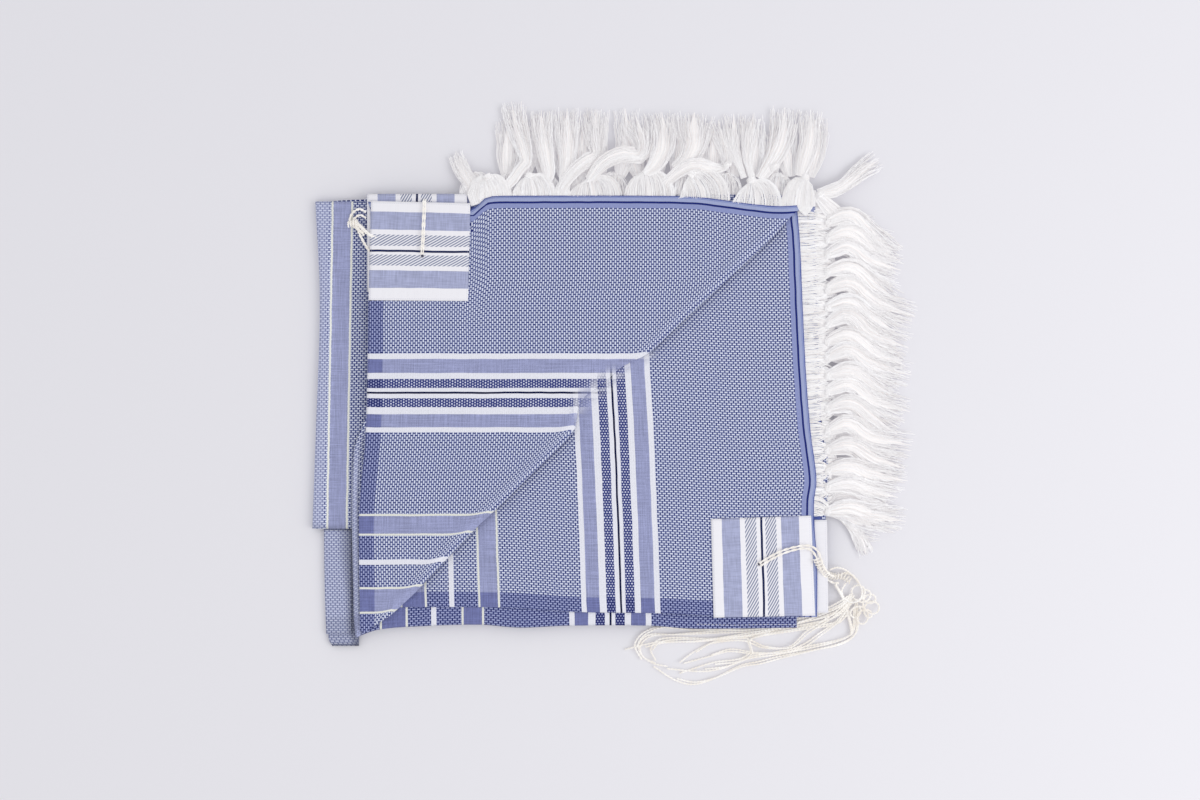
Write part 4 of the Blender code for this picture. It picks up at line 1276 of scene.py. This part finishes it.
def dome(edge, at, half, peak, root_z, peak_z, upright, neck=2.5, steps=10):
    """The guide of a fan: half an ellipse of threads, from the cloth's edge to its knot."""
    a, b = ((at + d, read(edge, at + d)) for d in (-half / 2, half / 2))
    a, b = (Vector(p) if upright else Vector(p[::-1]) for p in (a, b))
    along = (b - a).normalized()
    out = Vector((-along.y, along.x)) if upright else Vector((along.y, -along.x))
    root = (a + b) / 2 - 1.6 * out      # inside the edge, under the cloth
    reach = Vector(peak) - root
    guide = []
    for k in range(steps + 1):
        t = k / steps
        width = neck + (half - neck) * math.sqrt(max(0.0, 1 - t**2.2))
        p = root + out * reach.dot(out) * t + along * reach.dot(along) * t * t
        guide.append((p.x, p.y, blend(root_z, peak_z, t) + 1.6 * math.sin(math.pi * t), width))
    return guide


def wrapped(x, y, z, across, up):
    """A turn of threads over a bundle's neck, where it is knotted."""
    turn = [(-1, -2.5, 1.4), (-0.6, 1.6, 1.8), (0, 2.8, 2.1), (0.6, 1.6, 1.8), (1, -2.5, 1.4)]
    return smooth_route([(x + across * way, y + up * way, z + lift, half)
                         for way, lift, half in turn], 8)


BACK_FANS = [  # root x, half width, peak x, peak y
    (-118, 16, -127, 195), (-80, 22, -85, 197), (-52, 8, -50, 190), (-20, 28, -24.5, 194),
    (35.5, 25.5, 31.7, 201), (89.5, 26.5, 77, 198), (143, 25, 137.6, 191),
    (184, 17, 191, 193.4),
]
guides = [dome(BACK_EDGE, x, half, (px, py), TOP_Z + rise(x, 174) - 0.7, 11.5, True)
          for x, half, px, py in BACK_FANS]
guides.append([(-135, 168, 12.8, 8), (-138, 178, 12.8, 9), (-136, 188, 12, 7), (-130, 195, 11, 4)])
guides.append([(184, 162, 13.2, 10), (189, 168, 13.2, 10), (196, 175, 12.2, 8), (203, 179, 11, 3)])
threads("back_fans", guides, yarn_sizes(
    Threads=84, Yarn_radius=0.0004, Wander=0.0025, Wander_length=0.008, Flatness=0.025, Core=0.1,
    Uneven_ends=0.0), "fringe_back")

BACK_TASSELS = [  # x, y, z, half width along each, from its fan's knot to its tip
    [(-139, 178, 11, 6), (-146, 192, 9, 7), (-154, 206, 5, 8), (-160, 220, 3, 8)],
    [(-112, 182, 12, 4), (-103, 190, 13, 5), (-94, 203, 12, 5), (-88, 211, 10, 6),
     (-93, 232, 6, 9), (-99, 252, 4.5, 11), (-103, 272, 3, 12)],
    [(-68, 190, 12, 4), (-65, 198, 12, 6), (-68, 215, 9, 8), (-72, 240, 5, 10), (-73, 263, 3, 12)],
    [(-50, 188, 12, 5), (-49, 197, 12, 6), (-46, 215, 8, 9), (-47, 240, 5, 12), (-47, 265, 3, 14)],
    [(-53, 183, 14, 5), (-42, 199, 14, 6.5), (-28, 211, 13, 7), (-18, 217, 10, 7),
     (-18, 235, 6, 11), (-19, 264, 3.5, 15)],
    [(-24, 192, 14, 5), (-12, 208, 15, 7), (8, 218, 14, 8), (25, 217, 11, 8), (29, 230, 7, 12),
     (22, 257, 3.5, 20)],
    [(32, 199, 13, 4), (41, 207, 12, 8), (49, 225, 8, 11), (50, 245, 5, 12), (48, 261, 3.5, 13)],
    [(62, 202, 12, 7), (73, 213, 10, 9), (80, 228, 7, 14), (80, 245, 5, 19), (81, 261, 3.5, 22)],
    [(50, 188, 13, 5), (66, 201, 13, 6), (82, 208, 13, 7), (97, 204, 12, 6), (108, 204, 10, 4),
     (113, 216, 7, 6), (108, 238, 4, 10), (105, 254, 3, 12)],
    [(130, 194, 12, 3), (126, 205, 11, 3.4), (123, 213, 8, 5), (118, 226, 5, 7), (116, 244, 3, 8)],
    [(139, 191, 12, 3), (136, 203, 11, 3.4), (134, 214, 8, 4.5), (136, 232, 5, 7),
     (139, 256, 3, 9)],
    [(146, 193, 11, 5), (154, 205, 10, 7), (164, 222, 6, 10), (170, 243, 4.5, 13),
     (172, 266, 3, 15)],
    [(186, 196, 11, 5), (190, 210, 8, 8), (196, 232, 5, 10), (198, 264, 3, 12)],
    [(204, 178, 11, 5), (217, 181, 10, 7), (230, 187, 8, 7), (246, 200, 5, 9), (266, 213, 3, 11)],
    [(205, 175, 11, 5), (217, 163, 10, 8), (228, 153, 7, 9), (243, 147, 5, 11), (263, 145, 3, 12)],
]
guides = [smooth_route(route, 14) for route in BACK_TASSELS]
guides += [wrapped(x, y, 11, 4, tilt) for x, y, tilt in (
    (-127, 195, 2), (-85, 197, -1), (-24, 193, 2), (32, 200, 1), (77, 198, -2), (137, 192, 1),
    (191, 195, -1), (206, 178, 3), (113, 207, 3), (160, 205, 2))]
threads("back_tassels", guides, yarn_sizes(
    Threads=106, Seed=5, Yarn_radius=0.00032, Core=0.7), "fringe_back")

RIGHT_FANS = [  # root y, half width, peak y
    (150, 11, 149), (131, 12, 132), (113, 10, 117), (96, 10, 100), (79, 10, 82), (62, 10, 64),
    (45, 10, 47), (28, 10, 30), (12, 10, 14), (-5, 10, -4), (-22, 10, -20), (-40, 11, -38),
    (-60, 11, -60), (-80, 11, -79), (-99, 11, -99), (-117, 11, -116), (-134, 10, -140),
]
guides = [dome(RIGHT_EDGE, y, half, (214, peak), side_z(195, y) - 0.7, 9.5, False)
          for y, half, peak in RIGHT_FANS]
threads("right_fans", guides, yarn_sizes(
    Threads=36, Yarn_radius=0.0004, Seed=7, Wander=0.003, Wander_length=0.008, Flatness=0.03,
    Core=0.1, Uneven_ends=0.0), "fringe_right")
guides = []
for number, (_, _, peak) in enumerate(RIGHT_FANS):
    chance = random.Random(40 + number)
    low = ease(peak, -110, -30)
    lift = blend(4, chance.uniform(5, 12), low)
    fall = blend(10, chance.uniform(14, 36), low)
    reach = chance.uniform(64, 88)
    swell = chance.uniform(0.85, 1.15)
    guides.append(smooth_route([
        (212, peak, 10, 4), (221, peak + lift * 0.5, 11.5, 7), (232, peak + lift, 11, 9 * swell),
        (243, peak + lift * 0.6, 8, 10 * swell), (252, peak - fall * 0.15, 6, 11 * swell),
        (264, peak - fall * 0.5, 4.2, 13), (218 + reach, peak - fall, 2.8, 15)], 14))
    guides.append(wrapped(214, peak, 10, 1.5, 4))
guides.append(smooth_route([(217, -141, 6, 4), (228, -141, 6, 8), (243, -146, 5, 14),
                            (258, -149, 4, 19), (272, -150, 3, 21)], 14))
guides.append(smooth_route([(236, -152, 5, 4), (244, -162, 4, 6), (250, -173, 3, 7),
                            (254, -184, 2.5, 8)], 14))
threads("right_tassels", guides, yarn_sizes(Threads=78, Seed=9, Yarn_radius=0.00034, Flatness=0.24),
        "fringe_right")

guides = [dome(UNDER_BACK_EDGE, x, half, (peak, 199), 9.2, 6, True) for x, half, peak in (
    (-138, 17, -142), (-104, 17, -106), (-70, 17, -70), (-36, 17, -38), (-2, 17, 0),
    (32, 17, 30), (66, 17, 70), (111, 18, 112), (163, 18, 166))]
threads("back_under_fans", guides, yarn_sizes(
    Threads=60, Yarn_radius=0.0004, Seed=11, Flatness=0.06, Core=0.1, Uneven_ends=0.0),
    "fringe_back_under")
guides = []
for x in range(-108, 200, 19):     # the second end's own brushes, low down behind the first's
    sway = 8 * noise.noise(Vector((x / 17, 0, 0)))
    tip = 256 + 22 * noise.noise(Vector((x / 9, 5, 0)))
    guides.append(smooth_route([(x, 196, 5, 5), (x + sway, 212, 3.5, 10),
                                (x + 2 * sway, 232, 2.6, 12), (x + 1.5 * sway, tip, 1.8, 13)], 10))
threads("back_under_tassels", guides, yarn_sizes(
    Threads=66, Seed=21, Flatness=0.12, Core=0.5, Uneven_ends=0.3), "fringe_back")
guides = [dome(UNDER_RIGHT_EDGE, y, 15, (222, y), 9.2, 6, False) for y in range(-118, 170, 28)]
threads("right_under_fans", guides, yarn_sizes(
    Threads=60, Yarn_radius=0.0004, Seed=13, Flatness=0.06, Core=0.1, Uneven_ends=0.0),
    "fringe_right_under")

guides = []
for y in range(-128, 160, 18):
    sway = 7 * noise.noise(Vector((0, y / 17, 0)))
    guides.append(smooth_route([(218, y, 5, 5), (234, y + sway, 3.5, 10),
                                (254, y + sway - 6, 2.6, 13), (278, y + sway - 14, 1.8, 15)], 10))
threads("right_under_tassels", guides, yarn_sizes(
    Threads=66, Seed=23, Flatness=0.12, Core=0.5, Uneven_ends=0.3), "fringe_right")
